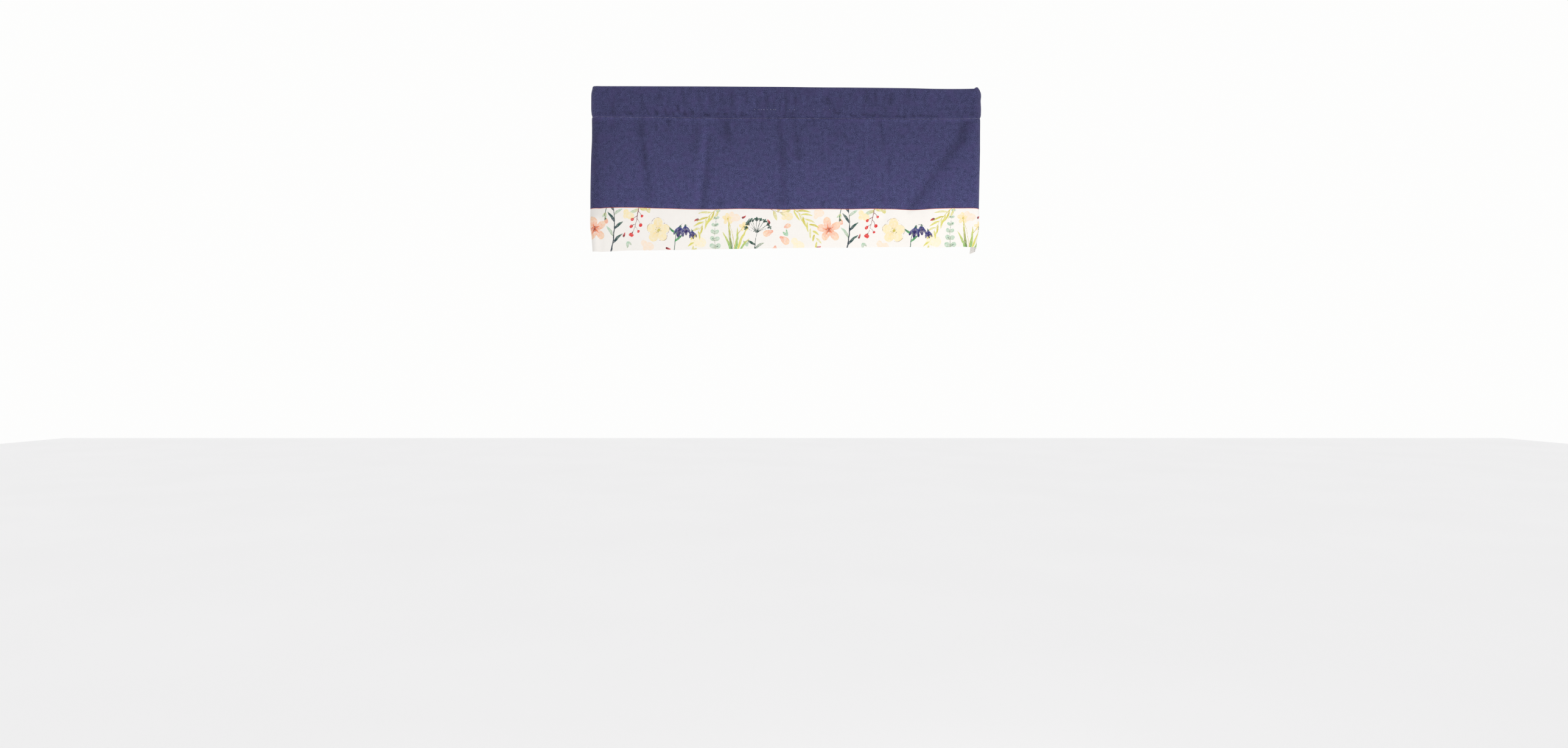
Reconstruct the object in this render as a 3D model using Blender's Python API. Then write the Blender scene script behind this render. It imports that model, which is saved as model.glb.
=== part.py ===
"""A window valance with a rod pocket, as it hangs on a rod that returns to the wall at both ends.

It is a flat, ungathered valance: a navy canvas panel whose top is folded over and stitched down to make
the rod pocket, with a strip of printed cotton seamed to its lower edge. In plan it is a U, a long front
and two short returns. Its solids meet edge to edge:

    rod_pocket_left, rod_pocket_front and rod_pocket_right
                 the hollow fold that the rod fills, down to its line of stitching, in three runs
    body_panel   the single canvas layer below the stitching, with a side hem at each wall end
    print_band   the printed strip below the seam, with side hems and a deep hem turned up at its back

X runs to the right along the front, the front faces -Y, the returns run back to the wall along +Y, and
Z is up. The origin is the middle of the front run, on the underside of the pocket's top fold, where the
rod's top edge bears. Run it with: blender --background --python part.py
"""

from collections import namedtuple
from math import cos, pi, sin

import bmesh
import bpy
import numpy as np

MM = 0.001

# Driving sizes, in metres.
FRONT_WIDTH = 1.092         # over the pocket's two corners
RETURN_DEPTH = 0.089        # from the front face to the wall ends
CLOTH = 0.0012              # one layer of canvas or cotton
ROD_DEPTH = 0.012           # the room for the rod between the pocket's two layers
CORNER_RADIUS = 0.016       # of the pocket's middle line, in plan
STITCHED_EDGE = 0.0030      # the pocket's two layers, pressed together at the stitching
SIDE_HEM = 0.012            # width of the turned-in edge at each wall end
HEM_DEPTH = 0.038           # height of the turned-up hem behind the printed band
HEM_LAYERS = 2.2            # thickness of a turned edge, in layers of cloth
TURNED_STEP = 0.001         # a turned edge thickens over this much of the sheet
PIECE_GAP = 0.0003          # clearance where two solids meet
WELD_DISTANCE = 0.00003     # a loop's two ends are joined within this
FRONT_SPACING = 0.0135      # of the columns along the front

# The plan path is the pocket's middle line, measured along the cloth from the middle of the front.
HALF_POCKET = ROD_DEPTH / 2 + CLOTH
HALF_STRAIGHT = FRONT_WIDTH / 2 - HALF_POCKET - CORNER_RADIUS
CORNER_ARC = CORNER_RADIUS * pi / 2
HALF_PATH = HALF_STRAIGHT + CORNER_ARC + RETURN_DEPTH - HALF_POCKET - CORNER_RADIUS

# The hollow fold is built in three runs, parted where the rod starts to bend round each corner.
POCKET_RUNS = (
    ("rod_pocket_left", -HALF_PATH, -HALF_STRAIGHT),
    ("rod_pocket_front", -HALF_STRAIGHT, HALF_STRAIGHT),
    ("rod_pocket_right", HALF_STRAIGHT, HALF_PATH),
)

# Heights of the four lines that run across the cloth, in mm, at places along the plan path.
Line = namedtuple("Line", "along fold stitch seam hem")
LINES = (
    Line(-614, 3.2, -83.5, -335.0, -446.0),
    Line(-540, 3.3, -83.3, -339.5, -459.0),
    Line(-437, 3.2, -84.1, -338.0, -458.5),
    Line(-335, 2.9, -85.3, -340.4, -458.0),
    Line(-232, 2.6, -86.5, -343.0, -456.3),
    Line(-129, 2.0, -86.7, -342.0, -454.4),
    Line(0, 1.2, -86.1, -342.9, -453.6),
    Line(90, 0.0, -87.1, -341.9, -452.0),
    Line(179, -0.6, -87.4, -342.3, -451.7),
    Line(282, -1.6, -88.4, -342.0, -450.3),
    Line(350, -2.5, -89.5, -343.3, -446.4),
    Line(419, -4.2, -89.6, -341.3, -448.6),
    Line(487, -4.5, -89.3, -339.4, -446.9),
    Line(540, -3.7, -87.5, -338.6, -449.5),
    Line(614, -4.0, -88.0, -341.0, -456.0),
)

# A small pinch stands up from the fold where it turns the right-hand corner.
PINCH_ALONG = 0.537
PINCH_HEIGHT = 0.0045
PINCH_WIDTH = 0.0045
PINCH_REACH = 0.08          # share of the pocket's height over which it dies away

# The pocket's outline, from the fold down the front and back up: the offset from the middle line, in mm,
# and how far down it lies, from 0 at the fold to 1 at the stitching. The two stitched points follow.
Outline = namedtuple("Outline", "offset down")
POCKET_FRONT = (
    Outline(4.6, 0.018),
    Outline(7.2, 0.075),
    Outline(7.5, 0.400),
    Outline(7.2, 0.800),
    Outline(6.9, 0.890),
    Outline(5.7, 0.950),
)
POCKET_BACK = (
    Outline(-3.2, 0.950),
    Outline(-6.6, 0.880),
    Outline(-7.2, 0.750),
    Outline(-7.2, 0.400),
    Outline(-7.2, 0.075),
    Outline(-4.6, 0.018),
)

# How the outer face hangs below the stitching: its offset from the plan path, in mm, at each height.
Hang = namedtuple(
    "Hang",
    "height left_return left_side left_arc left_corner left_turn left_front right_front right_corner right_return",
)
HANG = (
    Hang(-85, 5.0, 4.2, 4.1, 4.0, 3.9, 3.9, 3.9, 4.0, 5.2),
    Hang(-130, 7.5, 8.2, 6.4, 3.2, 3.6, 5.2, 5.4, 6.0, 7.8),
    Hang(-200, 10.5, 11.0, 6.4, 0.2, 2.6, 6.0, 6.4, 5.5, 9.0),
    Hang(-270, 12.5, 12.4, 5.2, -2.6, 0.8, 5.6, 6.2, 3.8, 8.4),
    Hang(-340, 13.0, 12.2, 3.8, -5.2, -1.2, 4.8, 5.6, 3.1, 6.8),
    Hang(-370, 13.6, 12.5, 3.8, -5.4, -1.4, 4.9, 5.8, 3.6, 7.8),
    Hang(-410, 11.6, 10.5, 2.8, -5.4, -1.4, 4.1, 4.8, 1.5, 5.0),
    Hang(-460, 7.2, 7.4, 1.4, -4.6, -1.6, 2.6, 3.2, -1.9, -0.6),
)
HANG_PLACES = (-0.575, -0.548, -0.540, -0.528, -0.505, -0.455, 0.430, 0.536, 0.575)
WALL_END_DRAW = 0.006       # the wall ends lean in by this much at the hem

# Folds below the stitching: soft troughs (depth below 0) and ridges (above 0), in mm. Each runs from its
# head to its foot, bowed to the right by bow, and dies away at both ends.
Fold = namedtuple("Fold", "head_along head foot_along foot bow width depth")
FOLDS = (
    Fold(-413, -90, -376, -325, 0, 15, -4.2),
    Fold(-328, -86, -328, -128, 0, 11, -2.0),
    Fold(-270, -86, -262, -175, 0, 28, -3.0),
    Fold(-225, -88, -236, -440, 0, 18, 3.6),
    Fold(-206, -170, -210, -330, 0, 13, -2.2),
    Fold(-169, -86, -156, -220, 0, 13, -3.2),
    Fold(-124, -110, -88, -190, 0, 16, -1.8),
    Fold(-16, -86, -4, -400, 0, 16, -3.4),
    Fold(22, -86, 33, -215, 0, 12, -2.6),
    Fold(98, -172, 150, -112, -8, 14, -2.2),
    Fold(150, -112, 218, -240, 10, 15, -2.2),
    Fold(174, -160, 172, -400, 0, 18, -2.0),
    Fold(265, -90, 268, -400, 14, 16, -3.4),
    Fold(514, -86, 345, -345, 11, 21, -7.0),
    Fold(430, -300, 338, -470, 6, 30, 5.0),
    Fold(-372, -300, -368, -450, 0, 24, -2.0),
    Fold(-120, -330, -132, -470, 0, 34, 2.0),
    Fold(-476, -150, -486, -440, 0, 34, 2.4),
    Fold(96, -250, 92, -470, 0, 40, 2.6),
    Fold(488, -300, 500, -460, 0, 24, -3.0),
    Fold(-586, -110, -582, -430, 0, 14, -2.6),
    Fold(584, -110, 590, -440, 0, 15, -2.4),
)
FOLD_EASE = 0.030           # a fold dies away over this much of its length at each end

# Rows of points down each sheet, as shares of its height, closer where it bends more.
BODY_ROWS = (0.0, 0.04, 0.11, 0.20, 0.30, 0.41, 0.52, 0.63, 0.74, 0.86, 1.0)
BAND_ROWS = (0.0, 0.14, 0.30, 0.46, 0.62, 0.80, 1.0)
CLEAR_OF_HEM_TOP = 0.006    # the band's inner face has no other row this close to its hem's top

NAVY = (0.058, 0.056, 0.140, 1.0)
NAVY_SHADE = (0.052, 0.050, 0.125, 1.0)
PRINT_GROUND = (0.900, 0.870, 0.830, 1.0)
CLOTH_ROUGHNESS = 0.92


def column(table, name, scale=MM):
    """Return one named column of a table, in metres."""
    return np.array([getattr(row, name) for row in table]) * scale


def curve_through(value, places, readings):
    """Read a smooth curve that passes through the readings at the given places."""
    slopes = np.gradient(readings, places)
    last = len(places) - 2
    i = int(np.clip(np.searchsorted(places, value) - 1, 0, last))
    span = places[i + 1] - places[i]
    t = min(max((value - places[i]) / span, 0.0), 1.0)
    start = (1 + 2 * t) * (1 - t) ** 2 * readings[i] + t * (1 - t) ** 2 * span * slopes[i]
    end = t * t * (3 - 2 * t) * readings[i + 1] + t * t * (t - 1) * span * slopes[i + 1]
    return start + end


def ease(value):
    """Rise smoothly from 0 to 1 as the value goes from 0 to 1."""
    t = min(max(value, 0.0), 1.0)
    return t * t * (3 - 2 * t)


def line_height(name, along):
    """Return the height of one of the cloth's cross lines at a place along the path."""
    return curve_through(along, column(LINES, "along"), column(LINES, name))


def plan_point(along, offset, height):
    """Return the point at a place along the path, offset outwards from it, at a height."""
    side = 1.0 if along >= 0 else -1.0
    past_straight = abs(along) - HALF_STRAIGHT
    angle = min(max(past_straight / CORNER_RADIUS, 0.0), pi / 2)
    run_back = max(past_straight - CORNER_ARC, 0.0)
    x = min(abs(along), HALF_STRAIGHT) + (CORNER_RADIUS + offset) * sin(angle)
    y = CORNER_RADIUS - (CORNER_RADIUS + offset) * cos(angle) + run_back
    return (side * x, y, height)


def fold_offset(fold, along, height):
    """Return how far one fold moves the cloth outwards at a place."""
    head = np.array((fold.head_along, fold.head)) * MM
    foot = np.array((fold.foot_along, fold.foot)) * MM
    length = np.linalg.norm(foot - head)
    run = (foot - head) / length
    from_head = np.array((along, height)) - head
    down = from_head @ run
    if not 0.0 < down < length:
        return 0.0
    bow = fold.bow * MM * sin(pi * down / length)
    across = from_head @ np.array((-run[1], run[0])) - bow
    width = fold.width * MM
    fade = ease(down / FOLD_EASE) * ease((length - down) / FOLD_EASE)
    return fold.depth * MM * fade * np.exp(-((across / width) ** 2))


def face_offset(along, height):
    """Return the outer face's offset from the plan path below the stitching."""
    heights = -column(HANG, "height")
    names = Hang._fields[1:]
    offsets = [curve_through(-height, heights, column(HANG, name)) for name in names]
    hang = curve_through(along, HANG_PLACES, offsets)
    stitch = line_height("stitch", along)
    drop = (stitch - height) / (stitch - line_height("hem", along))
    past_corner = (abs(along) - HALF_STRAIGHT - CORNER_ARC) / (HALF_PATH - HALF_STRAIGHT - CORNER_ARC)
    lean = -WALL_END_DRAW * drop * ease(past_corner)
    return hang + lean + sum(fold_offset(fold, along, height) for fold in FOLDS)


def stations():
    """Return the places along the path where the cloth has a column of points."""
    front = list(np.linspace(0.0, HALF_STRAIGHT, round(HALF_STRAIGHT / FRONT_SPACING) + 1))
    corner = list(HALF_STRAIGHT + CORNER_ARC * np.array((0.25, 0.5, 0.75, 1.0)))
    hem_start = HALF_PATH - SIDE_HEM - TURNED_STEP
    middle = (corner[-1] + hem_start) / 2
    half = front + corner + [middle, hem_start, HALF_PATH - SIDE_HEM, HALF_PATH]
    return [-place for place in reversed(half[1:])] + half


def swept_object(name, loops, color, filled_ends):
    """Make an object from loops of points, one loop a station, each running round the cloth."""
    columns = len(loops)
    rows = len(loops[0])
    bm = bmesh.new()
    bmesh.ops.create_grid(bm, x_segments=rows - 1, y_segments=columns - 1, size=0.5)
    for vert in bm.verts:
        row = round((vert.co.x + 0.5) * (rows - 1))
        station = round((vert.co.y + 0.5) * (columns - 1))
        vert.co = loops[station][row]
    bmesh.ops.remove_doubles(bm, verts=bm.verts, dist=WELD_DISTANCE)
    if filled_ends:
        bmesh.ops.holes_fill(bm, edges=bm.edges, sides=0)
    bmesh.ops.recalc_face_normals(bm, faces=bm.faces)
    mesh = bpy.data.meshes.new(name)
    bm.to_mesh(mesh)
    bm.free()
    mesh.shade_smooth()
    mesh.set_sharp_from_angle(angle=pi / 4)
    mesh.materials.append(cloth_material(name, color))
    made = bpy.data.objects.new(name, mesh)
    bpy.context.scene.collection.objects.link(made)
    return made


def cloth_material(name, color):
    """Make a plain cloth material."""
    material = bpy.data.materials.new(name + "_cloth")
    material.use_nodes = True
    shader = material.node_tree.nodes["Principled BSDF"]
    shader.inputs["Base Color"].default_value = color
    shader.inputs["Roughness"].default_value = CLOTH_ROUGHNESS
    shader.inputs["Metallic"].default_value = 0.0
    return material


def pocket_loop(along):
    """Return the pocket's outline at a station, from the fold round to the fold."""
    fold = line_height("fold", along)
    stitch = line_height("stitch", along) + PIECE_GAP
    pinch = PINCH_HEIGHT * np.exp(-(((along - PINCH_ALONG) / PINCH_WIDTH) ** 2))
    face = face_offset(along, stitch)
    outline = [Outline(0.0, 0.0)]
    outline += [Outline(row.offset * MM, row.down) for row in POCKET_FRONT]
    outline += [Outline(face, 1.0), Outline(face - STITCHED_EDGE, 1.0)]
    outline += [Outline(row.offset * MM, row.down) for row in POCKET_BACK]
    outline += [Outline(0.0, 0.0)]
    points = []
    for row in outline:
        lift = pinch * max(1.0 - row.down / PINCH_REACH, 0.0)
        points.append(plan_point(along, row.offset, fold + (stitch - fold) * row.down + lift))
    return points


def turned_share(inset, turned_width):
    """Return 1 on a turned edge, 0 beyond it, and the ramp between them across its step."""
    return min(max((turned_width + TURNED_STEP - inset) / TURNED_STEP, 0.0), 1.0)


def sheet_loop(along, top, foot, shares, has_hem):
    """Return a sheet's outline at a station: down its outer face and back up its inner one."""
    heights = [top + (foot - top) * share for share in shares]
    inner_heights = list(heights)
    if has_hem:
        hem_top = foot + HEM_DEPTH
        inner_heights = [height for height in heights if abs(height - hem_top) > CLEAR_OF_HEM_TOP]
        inner_heights = sorted(inner_heights + [hem_top, hem_top + TURNED_STEP], reverse=True)
    outer = [plan_point(along, face_offset(along, height), height) for height in heights]
    inner = []
    for height in reversed(inner_heights):
        turned = turned_share(HALF_PATH - abs(along), SIDE_HEM)
        if has_hem:
            turned = max(turned, turned_share(height - foot, HEM_DEPTH))
        depth = CLOTH * (1.0 + (HEM_LAYERS - 1.0) * turned)
        inner.append(plan_point(along, face_offset(along, height) - depth, height))
    return outer + inner + outer[:1]


def make_rod_pocket():
    """Make the hollow fold in its three runs, each a tube that the rod passes through."""
    for name, start, end in POCKET_RUNS:
        start += PIECE_GAP / 2
        end -= PIECE_GAP / 2
        places = [start] + [place for place in stations() if start < place < end] + [end]
        pocket = swept_object(name, [pocket_loop(place) for place in places], NAVY_SHADE, False)
        wall = pocket.modifiers.new("wall", "SOLIDIFY")
        wall.thickness = CLOTH
        wall.offset = -1.0
        wall.use_even_offset = True
        wall.use_rim = True


def make_body_panel():
    """Make the canvas sheet from the stitching to the seam."""
    loops = []
    for place in stations():
        top = line_height("stitch", place)
        foot = line_height("seam", place) + PIECE_GAP
        loops.append(sheet_loop(place, top, foot, BODY_ROWS, False))
    swept_object("body_panel", loops, NAVY, True)


def make_print_band():
    """Make the printed strip from the seam to the hem."""
    loops = []
    for place in stations():
        top = line_height("seam", place)
        foot = line_height("hem", place)
        loops.append(sheet_loop(place, top, foot, BAND_ROWS, True))
    swept_object("print_band", loops, PRINT_GROUND, True)


def clear_scene():
    """Remove every object that the file opened with."""
    for old in list(bpy.data.objects):
        bpy.data.objects.remove(old, do_unlink=True)


def main():
    clear_scene()
    make_rod_pocket()
    make_body_panel()
    make_print_band()


main()
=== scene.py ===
"""The looks of a flat rod-pocket window valance, as it hangs on a rod that returns to the wall at both ends.

Navy canvas is folded over and stitched down to make the rod pocket, hangs below it as a flat panel, and is
seamed to a strip of printed cotton with a deep hem. Each cloth is a thin closed sheet on its solid's folds,
with its own creases, turned edges and sewing.

X runs to the right along the front, the front faces -Y, Z is up, and the origin is the middle of the front
run under the pocket's top fold. Tables are in millimetres, everything else is in metres. "Along" is the
distance along the cloth from the middle of the front, and "height" is Z.
"""

import logging
from dataclasses import dataclass, field
from enum import Enum
from math import cos, pi, radians, sin
from typing import Any, Callable, NamedTuple

import bmesh
import bpy
import numpy as np
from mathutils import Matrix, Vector


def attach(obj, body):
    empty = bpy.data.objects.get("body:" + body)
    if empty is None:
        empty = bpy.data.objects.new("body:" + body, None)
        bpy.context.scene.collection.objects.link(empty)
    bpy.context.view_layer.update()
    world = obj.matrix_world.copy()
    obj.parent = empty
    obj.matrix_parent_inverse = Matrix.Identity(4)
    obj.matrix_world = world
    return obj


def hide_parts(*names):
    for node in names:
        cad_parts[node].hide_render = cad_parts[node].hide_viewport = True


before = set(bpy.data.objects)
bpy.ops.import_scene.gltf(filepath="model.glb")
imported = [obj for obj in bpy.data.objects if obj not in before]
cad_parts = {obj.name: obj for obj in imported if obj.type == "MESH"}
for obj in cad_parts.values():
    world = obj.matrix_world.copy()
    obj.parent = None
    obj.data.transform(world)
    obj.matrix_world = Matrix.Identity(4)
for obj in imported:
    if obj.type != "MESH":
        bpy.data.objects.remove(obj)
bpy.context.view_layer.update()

Array = np.ndarray
log = logging.getLogger("valance")

MM = 0.001

# Driving sizes, the same as the solids'.
FRONT_WIDTH = 1.092
RETURN_DEPTH = 0.089
ROD_DEPTH = 0.012
SOLID_CLOTH = 0.0012
CORNER_RADIUS = 0.016
SIDE_HEM = 0.012
HEM_DEPTH = 0.038
HALF_POCKET = ROD_DEPTH / 2 + SOLID_CLOTH
HALF_STRAIGHT = FRONT_WIDTH / 2 - HALF_POCKET - CORNER_RADIUS
CORNER_ARC = CORNER_RADIUS * pi / 2
HALF_PATH = HALF_STRAIGHT + CORNER_ARC + RETURN_DEPTH - HALF_POCKET - CORNER_RADIUS

# The cloth itself.
CLOTH = 0.0010              # one layer
TURNED = 0.0012             # what a turned edge adds to one layer
ROLL = 0.0010               # radius of the cloth's roll into the seam
SEAM_ALLOWANCE = 0.010      # height of the raw edges pressed up behind the seam
ALLOWANCE_BACK = 0.0033     # from the outer face to the back of the allowance
SIDE_HEM_STEP = 0.0007      # width of the step on to the side hem
WELD = 0.00002


class Line(NamedTuple):
    """Heights of the lines that run across the cloth, at one place along it."""

    along: float
    fold: float
    stitch: float
    seam: float
    hem: float


LINES = (
    Line(-614, 2.6, -83.5, -334.0, -445.0),
    Line(-540, 2.7, -83.3, -336.5, -458.0),
    Line(-437, 2.6, -84.1, -336.8, -456.9),
    Line(-335, 2.3, -85.3, -341.2, -456.9),
    Line(-232, 2.0, -86.5, -344.7, -455.3),
    Line(-129, 1.4, -86.7, -343.2, -454.0),
    Line(0, 0.6, -86.1, -344.3, -451.8),
    Line(90, -0.6, -87.1, -343.2, -450.3),
    Line(179, -1.2, -87.4, -342.4, -450.2),
    Line(282, -2.2, -88.4, -341.0, -447.9),
    Line(350, -3.1, -89.5, -343.5, -448.1),
    Line(419, -4.8, -89.6, -340.6, -448.8),
    Line(487, -5.1, -89.3, -337.6, -445.9),
    Line(540, -4.3, -87.5, -338.3, -448.5),
    Line(566, -4.5, -87.8, -339.5, -454.0),
    Line(614, -4.6, -88.0, -340.0, -455.0),
)


class Pinch(NamedTuple):
    """A place where the fold stands up as it turns a corner."""

    along: float
    height: float
    width: float


PINCHES = (
    Pinch(-547, 4.0, 14.0),
    Pinch(533, 5.0, 4.5),
    Pinch(548, 2.2, 13.0),
)
PINCH_REACH = 0.08          # share of the pocket's height over which they die away


class Outline(NamedTuple):
    """A point of the pocket's outline: its offset from the plan path, and its share of the way down."""

    offset: float
    down: float


# From just above the stitching, up the front, over the fold and down the back.
POCKET_RISE = (
    Outline(5.7, 0.950),
    Outline(6.9, 0.890),
    Outline(7.2, 0.800),
    Outline(7.5, 0.400),
    Outline(7.1, 0.062),
    Outline(5.4, 0.014),
    Outline(0.0, 0.000),
    Outline(-5.4, 0.014),
    Outline(-7.1, 0.062),
    Outline(-7.2, 0.400),
    Outline(-7.2, 0.750),
    Outline(-6.6, 0.880),
    Outline(-3.2, 0.950),
)
TURNED_EDGE_DOWN = 1.035    # the back layer's folded edge, just below the stitching
NOMINAL_DROP = 0.087        # of the pocket
FRONT_TOP, CROWN, BACK_TOP = 5, 7, 9    # which points of the outline these are, with the stitching as 0


class Hang(NamedTuple):
    """How far the outer face hangs from the plan path at one height, at nine places along it."""

    height: float
    left_return: float
    left_side: float
    left_arc: float
    left_corner: float
    left_turn: float
    left_front: float
    right_front: float
    right_corner: float
    right_return: float


HANG = (
    Hang(-85, 7.6, 8.0, 7.4, 5.2, 4.2, 4.0, 4.1, 7.4, 8.2),
    Hang(-130, 7.5, 8.2, 6.4, 3.2, 3.6, 5.2, 5.4, 7.0, 8.8),
    Hang(-200, 10.4, 10.8, 6.4, 0.2, 2.6, 6.0, 6.4, 6.5, 10.0),
    Hang(-270, 11.9, 11.7, 5.2, -2.6, 0.8, 5.6, 6.2, 4.4, 9.0),
    Hang(-340, 12.2, 11.4, 3.8, -5.2, -1.2, 4.8, 5.6, 3.7, 7.4),
    Hang(-370, 12.8, 11.7, 3.8, -5.4, -1.4, 4.9, 5.8, 4.2, 8.4),
    Hang(-410, 11.1, 10.0, 2.8, -5.4, -1.4, 4.1, 4.8, 2.1, 5.6),
    Hang(-460, 7.2, 7.4, 1.4, -4.6, -1.6, 2.6, 3.2, -1.3, 0.0),
)
HANG_PLACES = (-575, -548, -540, -528, -505, -455, 430, 536, 575)
WALL_END_DRAW = 0.006       # the wall ends lean in by this much at the hem


class Fold(NamedTuple):
    """A soft trough (depth below 0) or ridge (above 0) from its head to its foot, bowed to the right."""

    head_along: float
    head: float
    foot_along: float
    foot: float
    width: float
    depth: float
    bow: float = 0.0


def folds(*rows: tuple[float, ...]) -> tuple[Fold, ...]:
    """Read a table of folds, a row of its values for each."""
    return tuple(Fold(*row) for row in rows)


# The main folds, the same as the solids'.
FOLDS = folds(
    (-413, -90, -376, -325, 15, -4.2), (-328, -86, -328, -128, 11, -2),
    (-270, -86, -262, -175, 28, -3), (-225, -88, -236, -440, 18, 3.6),
    (-206, -170, -210, -330, 13, -2.2), (-169, -86, -156, -220, 13, -3.2),
    (-124, -110, -88, -190, 16, -1.8), (-16, -86, -4, -400, 16, -3.4),
    (22, -86, 33, -215, 12, -2.6), (98, -172, 150, -112, 14, -2.2, -8),
    (150, -112, 218, -240, 15, -2.2, 10), (174, -160, 172, -400, 18, -2),
    (265, -90, 268, -400, 16, -3.4, 14), (514, -86, 345, -345, 21, -7, 11),
    (430, -300, 338, -470, 30, 5, 6), (-372, -300, -368, -450, 24, -2),
    (-120, -330, -132, -470, 34, 2), (-476, -150, -486, -440, 34, 2.4),
    (96, -250, 92, -470, 40, 2.6), (488, -300, 500, -460, 24, -3),
    (-586, -110, -582, -430, 14, -2.6), (584, -110, 590, -440, 15, -2.4),
)

# Sharper creases in the folds and beside them, and small ridges, too fine for the solids. They also set the
# painted shade in the creases and the painted light on the ridges.
CREASES = folds(
    (-410, -70, -403, -158, 10.9, -2), (-403, -138, -390, -246, 9, -2),
    (-390, -228, -380, -335, 11.5, -1.2), (-386, -150, -378, -212, 5, 0.9),
    (-326, -76, -330, -122, 5.6, -2), (-327, -112, -346, -128, 5, -1.3),
    (-291, -96, -290, -126, 5.6, -0.9), (-252, -92, -256, -208, 11.5, -1),
    (-237, -96, -235, -126, 5, -1.1), (-224, -70, -246, -350, 11.5, 1.7),
    (-208, -120, -223, -250, 9.6, -1.2), (-219, -216, -236, -362, 12.8, -2.2),
    (-364, -98, -364, -130, 5, -0.9), (-350, -208, -270, -208, 6.7, 0.9),
    (-366, -214, -344, -218, 5, -1.1), (-344, -222, -322, -234, 4.3, -0.8),
    (-474, -92, -452, -90, 4.5, -1), (-482, -78, -480, -134, 6.2, -1),
    (-348, -312, -348, -345, 6.7, -1.2), (-300, -316, -300, -345, 6.7, -1),
    (-171, -70, -160, -166, 10.9, -2.3), (-184, -174, -150, -170, 6.7, -0.9),
    (-155, -90, -151, -124, 5, 1), (-101, -80, -104, -116, 5, -1.2),
    (-68, -80, -68, -132, 4, -1), (-22, -74, -19, -136, 8.3, -1.6),
    (-21, -112, -11, -162, 9, -1.5), (-11, -140, -8, -250, 10.9, -1.9),
    (-8, -232, -6, -345, 9, -1.5), (22, -74, 25, -126, 5, -1.6),
    (26, -120, 34, -175, 9, -1.9), (34, -160, 33, -214, 11.5, -1.9),
    (50, -92, 39, -134, 5.6, -1.4), (48, -98, 92, -94, 5, -1.4, 4),
    (98, -146, 103, -220, 6.7, -0.8), (125, -140, 153, -120, 5.6, -1.6, 2),
    (149, -119, 180, -168, 6.2, -1.6, 2), (116, -170, 132, -174, 9, -0.9),
    (168, -196, 172, -242, 5.6, -1), (183, -248, 185, -300, 6.7, -1),
    (184, -306, 184, -345, 9, -1.6), (-62, -276, -52, -300, 5, -1.5),
    (-54, -299, -8, -304, 5, -1.2), (-42, -308, -4, -338, 10.2, -1.3),
    (-86, -213, -72, -230, 5.6, -0.9), (-178, -306, -184, -345, 10.2, -1.7),
    (-104, -314, -100, -345, 10.2, -1.2), (104, -314, 105, -345, 6.7, -1.4),
    (58, -262, 22, -258, 9, -0.7), (256, -86, 268, -120, 5.6, -1.7),
    (268, -108, 271, -190, 5.6, -1.5), (289, -186, 283, -248, 6.2, -1.3),
    (262, -284, 272, -345, 9, -1.2), (305, -304, 290, -345, 6.7, -1.2),
    (314, -144, 330, -130, 8.3, -1.3), (380, -98, 381, -142, 6.2, -1),
    (195, -190, 212, -218, 5.6, -0.9), (507, -70, 485, -170, 13.4, -2.7),
    (490, -142, 420, -240, 12.2, -2.2), (429, -222, 334, -360, 10.9, -1.8, 2),
    (500, -94, 544, -94, 5.6, -1.7, 3), (440, -112, 472, -142, 3.9, 0.8),
    (364, -94, 350, -128, 4.5, 0.8), (196, -104, 254, -104, 16.6, 1.2),
    (553, -400, 550, -476, 14, -3.6), (-556, -390, -553, -476, 12, -2.4),
)

# Soft shade where the cloth turns away at its corners, with no form of its own.
TURNED_AWAY = folds(
    (-541, -40, -538, -380, 20, -2.2), (-505, -84, -492, -380, 44, -0.6),
    (-550, -78, -550, -380, 8, -1.2), (550, -200, 550, -380, 8, -1.2),
)

# How the pocket bulges at its two corners.
CORNER_BULGES = folds(
    (-545, 0, -545, -88, 26, 2.4), (545, 6, 545, -100, 26, 1.5),
    (545, -30, 545, -100, 26, 1.2),
)

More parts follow.
